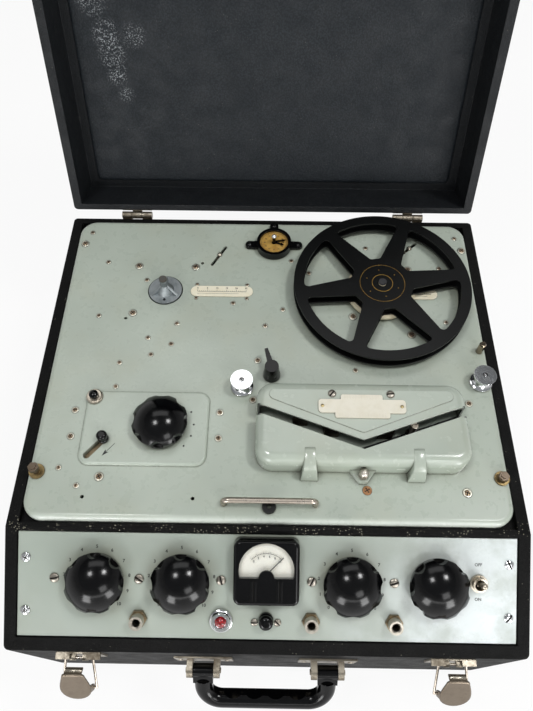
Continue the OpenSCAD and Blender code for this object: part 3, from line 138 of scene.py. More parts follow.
class Look:
    """A procedural material: a Principled shader and short calls for the nodes that feed it."""

    def __init__(self, name, **sockets):
        self.mat = bpy.data.materials.new(name)
        self.mat.use_nodes = True
        self.tree = self.mat.node_tree
        self.bsdf = self.tree.nodes["Principled BSDF"]
        self.at = self.node("TexCoord").outputs["Object"]
        self.set(**sockets)

    def node(self, kind, **settings):
        made = self.tree.nodes.new("ShaderNode" + kind)
        for key, value in settings.items():
            setattr(made, key, value)
        return made

    def feed(self, socket, value):
        if isinstance(value, bpy.types.NodeSocket):
            self.tree.links.new(value, socket)
        else:
            socket.default_value = value

    def set(self, **sockets):
        for key, value in sockets.items():
            self.feed(self.bsdf.inputs[key.replace("_", " ")], value)
        return self

    def stretched(self, x, y, z):
        made = self.node("Mapping")
        self.feed(made.inputs["Vector"], self.at)
        made.inputs["Scale"].default_value = (x, y, z)
        return made.outputs["Vector"]

    def noise(self, scale, detail=3.0, rough=0.55, at=None, twist=0.0):
        made = self.node("TexNoise")
        self.feed(made.inputs["Vector"], at or self.at)
        for key, value in (("Scale", scale), ("Detail", detail),
                           ("Roughness", rough), ("Distortion", twist)):
            made.inputs[key].default_value = value
        return made.outputs[0]

    def cells(self, scale, feature="F1", at=None, random=1.0):
        made = self.node("TexVoronoi", feature=feature)
        self.feed(made.inputs["Vector"], at or self.at)
        made.inputs["Scale"].default_value = scale
        made.inputs["Randomness"].default_value = random
        return made.outputs["Distance"]

    def calc(self, how, a, b=0.0):
        made = self.node("Math", operation=how)
        self.feed(made.inputs[0], a)
        self.feed(made.inputs[1], b)
        return made.outputs[0]

    def ease(self, value, low, high, to_low=0.0, to_high=1.0):
        made = self.node("MapRange", interpolation_type="SMOOTHSTEP")
        self.feed(made.inputs["Value"], value)
        for key, number in (("From Min", low), ("From Max", high),
                            ("To Min", to_low), ("To Max", to_high)):
            made.inputs[key].default_value = number
        return made.outputs["Result"]

    def mix(self, amount, a, b):
        """Colour a, or b where the amount is 1; the numbers are the node's colour sockets."""
        made = self.node("Mix", data_type="RGBA")
        self.feed(made.inputs[0], amount)
        self.feed(made.inputs[6], a)
        self.feed(made.inputs[7], b)
        return made.outputs[2]

    def tint(self, base, where, amount, colour):
        """A base colour, turned by an amount to another where a mask is 1."""
        return self.mix(self.calc("MULTIPLY", where, amount), base, colour)

    def specks(self, scale, size, field, patch):
        """1 on small dots of a size, in the patches of a noise field alone."""
        dots = self.ease(self.cells(scale), *size, 1.0, 0.0)
        return self.calc("MULTIPLY", dots, self.ease(self.noise(*field), *patch))

    def part(self, axis):
        made = self.node("SeparateXYZ")
        self.feed(made.inputs[0], self.at)
        return made.outputs[axis]

    def near(self, point, reach, soft):
        """1 within reach metres of a point, fading to 0 over soft metres."""
        made = self.node("VectorMath", operation="DISTANCE")
        self.feed(made.inputs[0], self.at)
        made.inputs[1].default_value = point
        return self.ease(made.outputs["Value"], reach, reach + soft, 1.0, 0.0)

    def above(self, point, direction, soft=0.0003):
        """1 on the far side of a plane through a point, square to a direction."""
        away = self.node("VectorMath", operation="SUBTRACT")
        self.feed(away.inputs[0], self.at)
        away.inputs[1].default_value = point
        made = self.node("VectorMath", operation="DOT_PRODUCT")
        self.feed(made.inputs[0], away.outputs[0])
        made.inputs[1].default_value = direction
        return self.ease(made.outputs["Value"], -soft, soft)

    def tape_slot(self):
        """1 on the walls and the floor of the tape slot, which the enamel paints near black as the
        slot's shade.
        """
        away = self.calc("ABSOLUTE", self.calc("SUBTRACT", self.part("X"), SLOT_X))
        middle = self.calc("SUBTRACT", self.calc("MULTIPLY", away, SLOT_SLOPE), SLOT_DROP)
        off = self.calc("ABSOLUTE", self.calc("SUBTRACT", self.part("Y"), middle))
        low = self.ease(self.part("Z"), *SLOT_TOP, 1.0, 0.0)
        inside = self.calc("MULTIPLY", self.ease(off, *SLOT_HALF, 1.0, 0.0), low)
        return self.calc("MULTIPLY", inside, self.ease(away, *SLOT_END, 1.0, 0.0))

    def grime(self, reach):
        """1 in corners and against neighbours, where shade falls, 0 in the open; it darkens colour
        there as painted shade with grime, and as tarnish on metal.
        """
        made = self.node("AmbientOcclusion", samples=6)
        made.inputs["Distance"].default_value = reach
        return self.calc("SUBTRACT", 1.0, made.outputs["AO"])

    def bump(self, height, strength, depth, below=None):
        made = self.node("Bump")
        self.feed(made.inputs["Height"], height)
        made.inputs["Strength"].default_value = strength
        made.inputs["Distance"].default_value = depth
        if below is not None:
            self.feed(made.inputs["Normal"], below)
        return made.outputs["Normal"]

    def edges(self, radius):
        """Slightly rounded edges."""
        made = self.node("Bevel", samples=4)
        made.inputs["Radius"].default_value = radius
        return made.outputs["Normal"]


def enamel(name, light, dark, stain, rough, gloss, wear_and_light=None):
    """Stove enamel: soft tone changes, old stains, specks, grime with painted shade against the
    fittings, the tape slot painted dark as shade, orange peel.
    """
    k = Look(name, Coat_Weight=gloss, Coat_Roughness=0.12)
    broad = k.noise(7.0, 4.0)
    tone = k.mix(k.ease(broad, 0.35, 0.65), dark, light)
    tone = k.tint(tone, k.ease(k.noise(22.0, 3.0, 0.5), 0.42, 0.8), 0.26, stain)
    speck = k.specks(150.0, (0.05, 0.09), (60.0,), (0.62, 0.68))
    tone = k.tint(tone, speck, 0.5, rgb(88, 84, 72))
    scratch = k.ease(k.noise(90.0, 6.0, 0.7, k.stretched(1.0, 9.0, 1.0), 1.2), 0.64, 0.7)
    tone = k.tint(tone, scratch, 0.05, rgb(214, 220, 212))
    # Painted shade with some grime: darker against the fittings and in tight crevices, where neighbours
    # shade the paint.
    tone = k.tint(tone, k.ease(k.grime(0.010), 0.12, 0.8), 0.55, rgb(104, 102, 84))
    tone = k.tint(tone, k.ease(k.grime(0.0016), 0.06, 0.5), 0.6, rgb(92, 94, 82))
    shine = k.ease(k.noise(130.0, 4.0), 0.3, 0.75, rough - 0.06, rough + 0.08)
    if wear_and_light:
        tone, shine = wear_and_light(k, tone, shine)
    # Painted shade: the walls and floor of the tape slot turned near black.
    tone = k.mix(k.tape_slot(), tone, rgb(7, 7, 7))
    peel = k.bump(k.noise(850.0, 2.0), 0.10, 0.00012, k.edges(0.0006))
    return k.set(Base_Color=tone, Roughness=shine,
                 Normal=k.bump(k.noise(35.0, 2.0), 0.12, 0.0006, peel)).mat


def deck_wear(k, tone, shine):
    """Smears of old oil by the head cover and the left spool hole; a pale band painted on the rubbed
    front edge as its highlight.
    """
    for point, reach, soft, amount in SMEARS:
        spot = k.near(point, reach, soft)
        share = k.ease(k.noise(48.0, 4.0), 0.3, 0.65, 0.3 * amount, amount)
        tone = k.tint(tone, spot, share, rgb(134, 142, 134))
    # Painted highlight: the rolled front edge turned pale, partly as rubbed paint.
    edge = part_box("deck_plate")[0].y
    strip = k.ease(k.part("Y"), edge + EDGE_HIGHLIGHT[0], edge + EDGE_HIGHLIGHT[1], 1.0, 0.0)
    share = k.ease(k.noise(30.0, 4.0), 0.25, 0.6, 0.25, 0.5)
    return k.tint(tone, strip, share, rgb(222, 228, 221)), shine


def panel_wear(k, tone, shine):
    """Paint handled dull round the knobs and darkened there with painted shade; rubbed thin towards the
    lower right and painted bright there as its sheen.
    """
    # Painted shade with grime: a darker ring round each knob.
    for knob in PANEL_KNOBS:
        grime_and_shade_ring = k.near(tuple(joints[knob]["pos_m"]), *KNOB_GRIME_AND_SHADE)
        share = k.ease(k.noise(55.0, 4.0), 0.3, 0.7, 0.2, 0.6)
        tone = k.tint(tone, grime_and_shade_ring, share, rgb(134, 136, 122))
    # Painted sheen on rubbed paint: the lower right of the panel turned near white, and a little
    # smoother.
    rubbed = k.calc("MULTIPLY", k.above(RUBBED_SHEEN_FROM, RUBBED_SHEEN_WAY, RUBBED_SHEEN_FADE),
                    k.ease(k.noise(26.0, 5.0, 0.6), 0.32, 0.6, 0.35, 1.0))
    tone = k.tint(tone, rubbed, 0.88, rgb(222, 229, 231))
    return tone, k.calc("SUBTRACT", shine, k.calc("MULTIPLY", rubbed, 0.08))


def leathercloth(name, tone, lift, grain, relief, rough, gloss, dusty, scuff_glints=(), litter=False):
    """Coated cloth with a pebbled grain, dust specks, rubbed edges, and scuffs whose grain is painted
    pale as glints.
    """
    k = Look(name, Specular_IOR_Level=gloss)
    warp = k.node("VectorMath", operation="ADD")
    drift = k.node("TexNoise")
    drift.inputs["Scale"].default_value = grain * 0.35
    k.feed(drift.inputs["Vector"], k.at)
    shift = k.node("VectorMath", operation="SCALE")
    k.feed(shift.inputs[0], drift.outputs["Color"])
    shift.inputs["Scale"].default_value = 0.9 / grain
    k.feed(warp.inputs[0], k.at)
    k.feed(warp.inputs[1], shift.outputs[0])
    pebble = k.cells(grain, "SMOOTH_F1", warp.outputs[0])
    fine = k.noise(grain * 3.2, 2.0)
    top = k.ease(pebble, 0.15, 0.62, 1.0, 0.0)
    colour = k.tint(tone, top, k.ease(k.noise(60.0, 4.0), 0.25, 0.75, 0.45, 0.8), lift)
    dust = k.specks(240.0, (0.06, 0.11), (70.0, 4.0), (0.5, 0.62))
    colour = k.tint(colour, dust, dusty, rgb(150, 146, 132))
    if litter:
        top_only = k.ease(k.part("Z"), *LITTER_Z)
        away = k.calc("ABSOLUTE", k.calc("ADD", k.part("Y"), -LITTER_Y))
        strip = k.calc("MULTIPLY", top_only, k.ease(away, *LITTER_HALF, 1.0, 0.0))
        crumb = k.specks(480.0, (0.16, 0.28), (46.0, 4.0), (0.5, 0.58))
        colour = k.tint(colour, strip, crumb, rgb(146, 142, 126))
    # Painted glints: a pale crackle on each scuffed patch, standing in for the shine of its grain.
    for point, reach, soft in scuff_glints:
        patch = k.calc("MULTIPLY", k.near(point, reach, soft),
                       k.ease(k.noise(90.0, 5.0, 0.65), 0.30, 0.56))
        crackle = k.ease(k.noise(640.0, 3.0, 0.7), 0.52, 0.62)
        colour = k.tint(colour, patch, crackle, rgb(146, 150, 153))
    height = k.calc("ADD", k.calc("MULTIPLY", pebble, -1.0), k.calc("MULTIPLY", fine, 0.35))
    shine = k.ease(k.noise(50.0, 4.0), 0.3, 0.7, rough - 0.06, rough + 0.1)
    return k.set(Base_Color=colour, Roughness=shine,
                 Normal=k.bump(height, relief, 0.00045, k.edges(0.0012))).mat


def moulded(name, tone, rough, haze, dust, gloss):
    """Black moulded plastic or enamel: faint swirl of fine scratches, haze, a little dust, and painted
    shade with grime in its corners.
    """
    k = Look(name, Specular_IOR_Level=gloss)
    hair = k.noise(260.0, 8.0, 0.75, k.stretched(1.0, 5.0, 2.0), 2.0)
    colour = k.tint(tone, k.ease(k.noise(40.0, 5.0), 0.45, 0.8), 0.6, haze)
    spots = k.specks(420.0, (0.05, 0.09), (110.0,), (0.56, 0.66))
    colour = k.tint(colour, spots, dust, rgb(140, 136, 126))
    # Painted shade with some grime: brownish dark in corners and against neighbours.
    colour = k.tint(colour, k.ease(k.grime(0.004), 0.3, 0.95), dust, rgb(70, 64, 52))
    shine = k.ease(hair, 0.35, 0.75, rough, rough + 0.14)
    return k.set(Base_Color=colour, Roughness=shine,
                 Normal=k.bump(hair, 0.03, 0.0001, k.edges(0.0004))).mat


def metal(name, tone, dull, rough, tarnish, grain=(1.0, 1.0, 1.0), edge=0.0003, relief=0.06,
          others=()):
    """Plated metal: brushed grain, smudges and tarnish in the corners.

    The others are pairs of a place and its colour: a plane is (point, direction) and a ball is
    (point, reach, fade).
    """
    k = Look(name, Metallic=1.0)
    smudge = k.ease(k.noise(70.0, 6.0, 0.65), 0.5 - tarnish * 0.22, 0.82 - tarnish * 0.2)
    pit = k.ease(k.noise(520.0, 4.0, 0.7), 0.55, 0.72)
    corner = k.ease(k.grime(0.004), 0.25, 0.9)
    worn = k.calc("MAXIMUM", k.calc("MULTIPLY", smudge, min(1.0, 0.25 + tarnish)),
                  k.calc("MULTIPLY", corner, 0.35 + 0.5 * tarnish))
    worn = k.calc("MAXIMUM", worn, k.calc("MULTIPLY", pit, 0.5 * tarnish))
    hair = k.noise(420.0, 6.0, 0.7, k.stretched(*grain))
    shine = k.calc("ADD", k.ease(hair, 0.3, 0.7, rough - 0.03, rough + 0.05),
                   k.calc("MULTIPLY", worn, 0.3))
    for place, colour in others:
        tone = k.mix(k.above(*place) if len(place) == 2 else k.near(*place), tone, colour)
    return k.set(Base_Color=k.mix(worn, tone, dull), Roughness=shine,
                 Normal=k.bump(hair, relief, 0.0001, k.edges(edge))).mat


def aged_card(name, tone, dirt, rough, tip=None):
    """Ivory plastic or card, yellowed in patches, and darkened at its edges and corners by painted
    shade with dirt.
    """
    k = Look(name, Subsurface_Weight=0.04, Coat_Weight=0.1)
    k.bsdf.inputs["Subsurface Radius"].default_value = (0.002, 0.0015, 0.001)
    colour = k.tint(tone, k.ease(k.noise(90.0, 5.0, 0.6), 0.4, 0.75), 0.4, dirt)
    # Painted shade with some dirt: brown in corners and against neighbours.
    colour = k.tint(colour, k.ease(k.grime(0.004), 0.2, 0.9), 0.6, rgb(120, 104, 70))
    speck = k.specks(600.0, (0.05, 0.1), (200.0,), (0.55, 0.65))
    colour = k.tint(colour, speck, 0.5, rgb(110, 92, 60))
    if tip:
        colour = k.mix(k.near(*tip), colour, rgb(46, 46, 48))
    shine = k.ease(k.noise(160.0), 0.3, 0.7, rough - 0.08, rough + 0.08)
    return k.set(Base_Color=colour, Roughness=shine, Normal=k.bump(k.noise(900.0), 0.05, 0.0001)).mat


def coated(name, tone, other, rough, scale=120.0, metallic=0.0, relief=0.1):
    """Plain coated or cast surface with broken tone, painted shade in its corners and a fine relief."""
    k = Look(name, Metallic=metallic)
    colour = k.mix(k.ease(k.noise(scale, 5.0, 0.6), 0.35, 0.7), tone, other)
    # Painted shade: near black in corners and against neighbours.
    colour = k.tint(colour, k.ease(k.grime(0.006), 0.25, 0.9), 0.4, rgb(30, 27, 22))
    shine = k.ease(k.noise(scale * 2.0), 0.3, 0.7, rough - 0.08, rough + 0.08)
    return k.set(Base_Color=colour, Roughness=shine,
                 Normal=k.bump(k.noise(scale * 6.0, 3.0), relief, 0.0003, k.edges(0.0004))).mat


def clear(name, tone, alpha, rough):
    """Thin glass with dust and a few smears."""
    k = Look(name, IOR=1.5)
    smear = k.ease(k.noise(120.0, 6.0, 0.7), 0.45, 0.8, 0.0, 0.06)
    dust = k.calc("MULTIPLY", k.ease(k.cells(700.0), 0.05, 0.1, 1.0, 0.0), 0.05)
    veil = k.calc("ADD", k.calc("ADD", smear, dust), alpha)
    return k.set(Base_Color=k.mix(k.noise(300.0), tone, rgb(240, 244, 240)), Alpha=veil,
                 Roughness=k.ease(k.noise(90.0), 0.3, 0.7, rough, rough + 0.06)).mat


def lens_red():
    """Red moulded lens with facets that catch the light."""
    k = Look("red_lens_look", Transmission_Weight=0.25, IOR=1.5, Coat_Weight=1.0, Coat_Roughness=0.03)
    facet = k.cells(520.0, "F1", None, 0.3)
    colour = k.mix(k.ease(facet, 0.1, 0.6), rgb(214, 22, 34), rgb(120, 4, 14))
    return k.set(Base_Color=colour, Roughness=k.ease(k.noise(300.0), 0.3, 0.7, 0.06, 0.14),
                 Normal=k.bump(facet, 0.5, 0.0006)).mat


# Middle of the lining of the open lid and its lean, in metres
LINING_Y, LINING_MIDDLE, LINING_LEAN = 0.35142, 0.40302, 0.3833


def on_lid(x, z):
    """Point on the lining of the open lid."""
    return (x, LINING_Y + LINING_LEAN * (z - LINING_MIDDLE), z)


# Places with a colour of their own, and the screw holes of the guides painted dark as shade: a ball is
# (point, reach, fade), a plane is (point, direction)
GUIDE_LEFT = (-0.0256, 0.0054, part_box("tape_guides")[1].z)
GUIDE_RIGHT = (0.1997, 0.0136, GUIDE_LEFT[2])
# Screw holes in the tops of the guides, painted dark brown as their shade: reach and fade, in metres
GUIDE_HOLE_SHADE = (0.0022, 0.0003)
GUIDE_POST = ((0.2035, 0.0479, 0.228), 0.012, 0.001)
LEFT_SPINDLE = ((-0.1089, 0.1160, 0.2402), 0.0052, 0.0006)
RIGHT_SPINDLE = ((0.1121, 0.1160, 0.2405), 0.0055, 0.0006)
COVER_BOLT = ((0.0822, -0.082, 0.232), 0.012, 0.001)
UP, OUT = (0.0, 0.0, 1.0), (0.0, -math.sin(SLOPE), math.cos(SLOPE))
SETTING_CAP, BOLT_HEADS = ((0.0, 0.0, 0.2334), UP), ((0.0, 0.0, 0.2200), UP)
JACK_RIM = (tuple(panel(0, 0, 4.2) @ Vector((0, 0, 0))), OUT)
# Scuffs on the lid lining, their grain painted pale as glints: place, reach and fade, in metres
SCUFF_GLINTS = (
    (on_lid(-0.170, 0.358), 0.008, 0.010), (on_lid(-0.167, 0.340), 0.008, 0.010),
    (on_lid(-0.164, 0.322), 0.005, 0.010), (on_lid(-0.157, 0.303), 0.002, 0.010),
    (on_lid(-0.1425, 0.356), 0.005, 0.011), (on_lid(-0.181, 0.386), 0.007, 0.012),
    (on_lid(-0.178, 0.403), 0.005, 0.012),
)
DECK_PAINT = (rgb(177, 186, 174), rgb(167, 176, 164), rgb(164, 165, 143))
PANEL_PAINT = (rgb(163, 171, 162), rgb(154, 163, 153), rgb(149, 153, 138))
SMALL = {"edge": 0.0001, "relief": 0.02}
LOOKS = {
    "case_cloth": leathercloth("case_cloth_look", rgb(8, 8, 8), rgb(20, 20, 19),
                               900.0, 0.5, 0.58, 0.10, 0.6, litter=True),
    "lid_cloth": leathercloth("lid_cloth_look", rgb(18, 20, 22), rgb(34, 37, 40),
                              900.0, 0.5, 0.52, 0.25, 0.4),
    "deck_enamel": enamel("deck_enamel_look", *DECK_PAINT, 0.31, 0.12, deck_wear),
    "panel_enamel": enamel("panel_enamel_look", *PANEL_PAINT, 0.36, 0.0, panel_wear),
    "cast_grey": metal("cast_grey_look", rgb(164, 170, 172), rgb(100, 106, 108), 0.44, 0.5,
                       others=((LEFT_SPINDLE, rgb(108, 100, 90)),)),
    "bakelite": moulded("bakelite_look", rgb(3, 3, 4), 0.12, rgb(7, 7, 8), 0.2, 0.28),
    "reel_black": moulded("reel_black_look", rgb(6, 7, 7), 0.30, rgb(13, 14, 15), 0.3, 0.22),
    "rubber": moulded("rubber_look", rgb(16, 16, 16), 0.55, rgb(36, 34, 32), 0.4, 0.3),
    "ivory": aged_card("ivory_look", rgb(226, 217, 190), rgb(208, 190, 148), 0.34, RIGHT_SPINDLE),
    "ivory_card": aged_card("ivory_card_look", rgb(232, 226, 204), rgb(220, 206, 168), 0.45),
    "blank_plate": aged_card("blank_plate_look", rgb(224, 219, 203), rgb(200, 192, 166), 0.36),
    "chrome_plate": metal("chrome_look", rgb(226, 228, 230), rgb(150, 148, 144), 0.07, 0.05,
                          relief=0.004,
                          others=((GUIDE_POST, rgb(150, 136, 118)),
                                  # Painted shade: dark brown in the screw holes of the guides.
                                  ((GUIDE_LEFT, *GUIDE_HOLE_SHADE), rgb(60, 46, 34)),
                                  ((GUIDE_RIGHT, *GUIDE_HOLE_SHADE), rgb(60, 46, 34)))),
    "nickel": metal("nickel_look", rgb(186, 178, 164), rgb(106, 94, 78), 0.26, 0.35, relief=0.02),
    "aged_nickel": metal("aged_nickel_look", rgb(148, 141, 128), rgb(90, 78, 63), 0.36, 0.5,
                         relief=0.03),
    "screw_steel": metal("screw_look", rgb(158, 138, 114), rgb(84, 64, 48), 0.34, 0.5, **SMALL),
    "bolt_brass": metal("bolt_look", rgb(176, 160, 118), rgb(86, 72, 48), 0.30, 0.6, relief=0.03),
    "gilt": coated("gilt_look", rgb(204, 164, 84), rgb(172, 128, 56), 0.42, 160.0, 0.25),
    "window_glass": clear("window_glass_look", rgb(226, 232, 226), 0.05, 0.03),
    "valve_glass": clear("valve_glass_look", rgb(214, 222, 220), 0.25, 0.03),
    "red_lens": lens_red(),
    "motor_grey": coated("motor_grey_look", rgb(112, 116, 118), rgb(96, 99, 100), 0.5),
    "core_iron": coated("core_iron_look", rgb(86, 74, 64), rgb(64, 56, 50), 0.6, 90.0, 0.2, 0.2),
    "chassis_metal": metal("chassis_look", rgb(176, 178, 178), rgb(120, 116, 108), 0.38, 0.35,
                           (1.0, 12.0, 1.0)),
}
COVER_LOOK = enamel("cover_enamel_look", *DECK_PAINT, 0.22, 0.3)
LEVER_LOOK = metal("latch_lever_look", rgb(124, 113, 100), rgb(92, 81, 69), 0.38, 0.25,
                   relief=0.02)
BAR_LOOK = metal("lift_bar_look", rgb(186, 176, 164), rgb(122, 110, 96), 0.27, 0.3, relief=0.01)
NODE_LOOKS = {
    "head_cover": COVER_LOOK,
    "head_gate": COVER_LOOK,
    "lift_bar": BAR_LOOK,
    "left_latch_bail": BAR_LOOK,
    "right_latch_bail": BAR_LOOK,
    # Tape heads: brown metal, made darker as painted shade of the slot they stand in.
    "tape_heads": metal("tape_head_shaded_look", rgb(92, 82, 66), rgb(30, 27, 22), 0.36, 0.7, relief=0.02),
    "meter_dial": aged_card("meter_card_look", rgb(244, 243, 234), rgb(238, 234, 216), 0.5),
    "counter_long_hand": metal("counter_hand_look", rgb(34, 32, 30), rgb(22, 20, 18), 0.30, 0.3,
                               relief=0.01, others=((SETTING_CAP, rgb(222, 224, 226)),)),
    "jack_sockets": metal("jack_look", rgb(138, 124, 100), rgb(86, 74, 56), 0.32, 0.4,
                          relief=0.01, others=((JACK_RIM, rgb(190, 184, 172)),)),
    "deck_bolts": metal("deck_bolt_look", rgb(152, 132, 92), rgb(84, 70, 52), 0.34, 0.45,
                        relief=0.02, others=((BOLT_HEADS, rgb(110, 98, 86)),
                                             (COVER_BOLT, rgb(206, 200, 190)))),
}
INK_LOOK = coated("ink_look", rgb(26, 27, 28), rgb(52, 52, 50), 0.6, 400.0)
GILT_LINE = coated("gilt_line_look", rgb(176, 142, 66), rgb(138, 104, 40), 0.42, 300.0, 0.6)
# Painted shade: dark brown for the cross recesses, the floors of the slots and the foot of each screw
# head.
RECESS_SHADE_LOOK = coated("recess_shade_look", rgb(34, 25, 19), rgb(18, 13, 10), 0.8, 500.0)
SLOT_STEEL = metal("slotted_screw_look", rgb(160, 154, 144), rgb(96, 86, 74), 0.32, 0.35, **SMALL)
RIM_LOOK = metal("screw_rim_look", rgb(206, 204, 190), rgb(130, 122, 104), 0.36, 0.4, **SMALL)
RUST_LOOK = metal("rusty_screw_look", rgb(188, 146, 108), rgb(122, 84, 56), 0.40, 0.6, **SMALL)
FIBRE_LOOK = coated("fibre_look", rgb(142, 124, 96), rgb(114, 98, 72), 0.7, 200.0)
LINING_LOOK = leathercloth("lid_lining_look", rgb(23, 27, 31), rgb(39, 44, 48),
                           620.0, 0.55, 0.48, 0.2, 0.2, SCUFF_GLINTS)

for name, piece in nodes.items():
    for place in piece.material_slots:
        place.material = NODE_LOOKS.get(name) or LOOKS[place.material.name.split(".")[0]]


# Mesh pieces drawn in millimetres in a placed frame

def polar(r, degrees):
    """Point at a radius and an angle."""
    t = math.radians(degrees)
    return (r * math.cos(t), r * math.sin(t))


class Shape:
    """A mesh that grows by its calls, each in the frame m, and ends as one piece."""

    def __init__(self):
        self.bm = bmesh.new()

    def face(self, corners, mat=0, smooth=False):
        made = self.bm.faces.new(corners)
        made.material_index = mat
        made.smooth = smooth

    def rings(self, m, rows, mat=0, smooth=True, loop=False):
        """Skins closed rows of points, one after another; a row of one point closes the end."""
        verts = [[self.bm.verts.new(m @ Vector(p)) for p in row] for row in rows]
        for low, high in zip(verts, verts[1:] + verts[:1] if loop else verts[1:]):
            count = max(len(low), len(high))
            for i in range(count):
                j = (i + 1) % count
                if len(low) == 1:
                    self.face((low[0], high[i], high[j]), mat, smooth)
                elif len(high) == 1:
                    self.face((low[i], low[j], high[0]), mat, smooth)
                else:
                    self.face((low[i], low[j], high[j], high[i]), mat, smooth)
        return verts

    def solid(self, m, rows):
        """Skins closed rows of points and shuts both ends."""
        ends = self.rings(m, rows)
        self.face(ends[0])
        self.face(ends[-1])

    def lathe(self, m, profile, steps=32, mat=0):
        """Turns a profile of (radius, height) about Z."""
        turns = [2 * math.pi * i / steps for i in range(steps)]
        rows = [[(r * math.cos(t), r * math.sin(t), z) for t in turns] if r else [(0, 0, z)]
                for r, z in profile]
        return self.rings(m, rows, mat)

    def plate(self, m, outline, z0, z1):
        """Upright plate of an outline of (x, y), anticlockwise."""
        low = [self.bm.verts.new(m @ Vector((x, y, z0))) for x, y in outline]
        high = [self.bm.verts.new(m @ Vector((x, y, z1))) for x, y in outline]
        self.face(list(reversed(low)))
        self.face(high)
        for i in range(len(outline)):
            j = (i + 1) % len(outline)
            self.face((low[i], low[j], high[j], high[i]))

    def block(self, m, low, high):
        """Box between two corners."""
        (x0, y0, z0), (x1, y1, z1) = low, high
        self.plate(m, [(x0, y0), (x1, y0), (x1, y1), (x0, y1)], z0, z1)

    def line(self, m, start, end, width):
        """Flat mark from one point to another."""
        a, b = Vector(start), Vector(end)
        side = (b - a).normalized().orthogonal() * width / 2
        self.plate(m, [tuple(p) for p in (a - side, b - side, b + side, a + side)], 0, INK)

    def dot(self, m, r, steps):
        """Flat round mark."""
        self.lathe(m, [(0, 0), (r, 0), (r, INK), (0, INK)], steps)

    def arc(self, m, r, width, first, last, steps):
        """Flat ring, or a part of one, between two angles in degrees."""
        whole = last - first == 360
        low, high = r - width / 2, r + width / 2
        rows = []
        for i in range(steps if whole else steps + 1):
            turn = first + (last - first) * i / steps
            rows.append([(*polar(d, turn), z)
                         for d, z in ((low, 0), (high, 0), (high, INK), (low, INK))])
        verts = self.rings(m, rows, 0, False, whole)
        if not whole:
            self.face(verts[0])
            self.face(verts[-1])

    def words(self, m, text, size):
        """Numbers or ON and OFF, centred on the frame."""
        font = bpy.data.curves.new("marks", "FONT")
        font.body = text
        font.size = size
        font.align_x = "CENTER"
        font.align_y = "CENTER"
        font.extrude = INK / 2
        font.offset = size * 0.024
        font.resolution_u = 3
        made = bpy.data.objects.new("marks", font)
        bpy.context.scene.collection.objects.link(made)
        shown = made.evaluated_get(bpy.context.evaluated_depsgraph_get())
        letters = bpy.data.meshes.new_from_object(shown)
        letters.transform(m)
        self.bm.from_mesh(letters)
        bpy.data.objects.remove(made)
        bpy.data.curves.remove(font)
        bpy.data.meshes.remove(letters)

    def piece(self, name, body, slot, *looks):
        """Ends the mesh as a piece that rides a body, in its slot's look or in looks of its own."""
        bmesh.ops.recalc_face_normals(self.bm, faces=self.bm.faces)
        mesh = bpy.data.meshes.new(name)
        self.bm.to_mesh(mesh)
        self.bm.free()
        for look in looks or (LOOKS[slot],):
            mesh.materials.append(look)
        made = bpy.data.objects.new(name, mesh)
        bpy.context.scene.collection.objects.link(made)
        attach(made, body)
        return made


def islands(node):
    """The vertices of each separate solid of a CAD node, in metres."""
    bm = bmesh.new()
    bm.from_mesh(nodes[node].data)
    bmesh.ops.remove_doubles(bm, verts=bm.verts, dist=1e-6)
    left = set(bm.verts)
    found = []
    for first in bm.verts:
        if first not in left:
            continue
        left.remove(first)
        stack = [first]
        solid = []
        while stack:
            v = stack.pop()
            solid.append(v.co.copy())
            for e in v.link_edges:
                w = e.other_vert(v)
                if w in left:
                    left.remove(w)
                    stack.append(w)
        found.append(solid)
    bm.free()
    return found


# Screws with recesses, in place of the plain heads

# Heads as shares of their radius and height; a slot is cut down to a floor
DOME = ((1.0, 0.0), (1.0, 0.35), (0.93, 0.6), (0.75, 0.82), (0.5, 0.95), (0.28, 1.0))
CUT_WIDTH, CUT_REACH, CUT_FLOOR, DOME_STEPS, HEAD_STEPS = 0.2, 0.97, 0.3, 14, 24
RAISED = ((0, 0.0), (1.0, 0.0), (1.0, 0.28), (0.97, 0.34), (0.92, 0.44), (0.7, 0.5), (0.64, 0.44),
          (0.6, 0.7), (0.46, 0.92), (0.22, 1.0), (0, 1.0))
# Rows of the raised head that take another look (the rim, and the foot painted dark as shade), and the
# points of its cross with their depth
RIM_ROWS, FOOT_SHADE_ROWS, CROSS_ROWS = (4, 5), (1, 2), (8, 9)
CROSS_POINTS, CROSS_DEPTH = (0, 6, 12, 18), 0.5
# Looks of the screws, in the order of the piece
STEEL, RECESS_SHADE, RUST, SLOTTED, RIM, CHROME = range(6)
EDGE_SCREWS, RUSTY_SCREW, GATE_RISE, NEXT_TURN = 190.0, (85.7, -93.0), 20, 137.5


def slotted(shape, m, r, h, body):
    """A cheese head cut by a straight slot, with the floor of the slot below painted dark as its shade.
    """
    width = CUT_WIDTH * r
    for side in (0, 180):
        half = m @ Matrix.Rotation(math.radians(side), 4, "Z")
        rows = []
        for share, rise in DOME:
            low = math.asin(width / (share * r))
            turns = [low + (math.pi - 2 * low) * i / DOME_STEPS for i in range(DOME_STEPS + 1)]
            rows.append([(share * r * math.cos(t), share * r * math.sin(t), rise * h) for t in turns])
        edges = shape.rings(half, rows, body, False)
        shape.face(edges[-1], body)
        shape.face(edges[0], body)
    floor_r, floor_h = CUT_REACH * r, CUT_FLOOR * h
    shape.lathe(m, [(0, 0.0), (floor_r, 0.0), (floor_r, floor_h), (0, floor_h)], HEAD_STEPS, RECESS_SHADE)


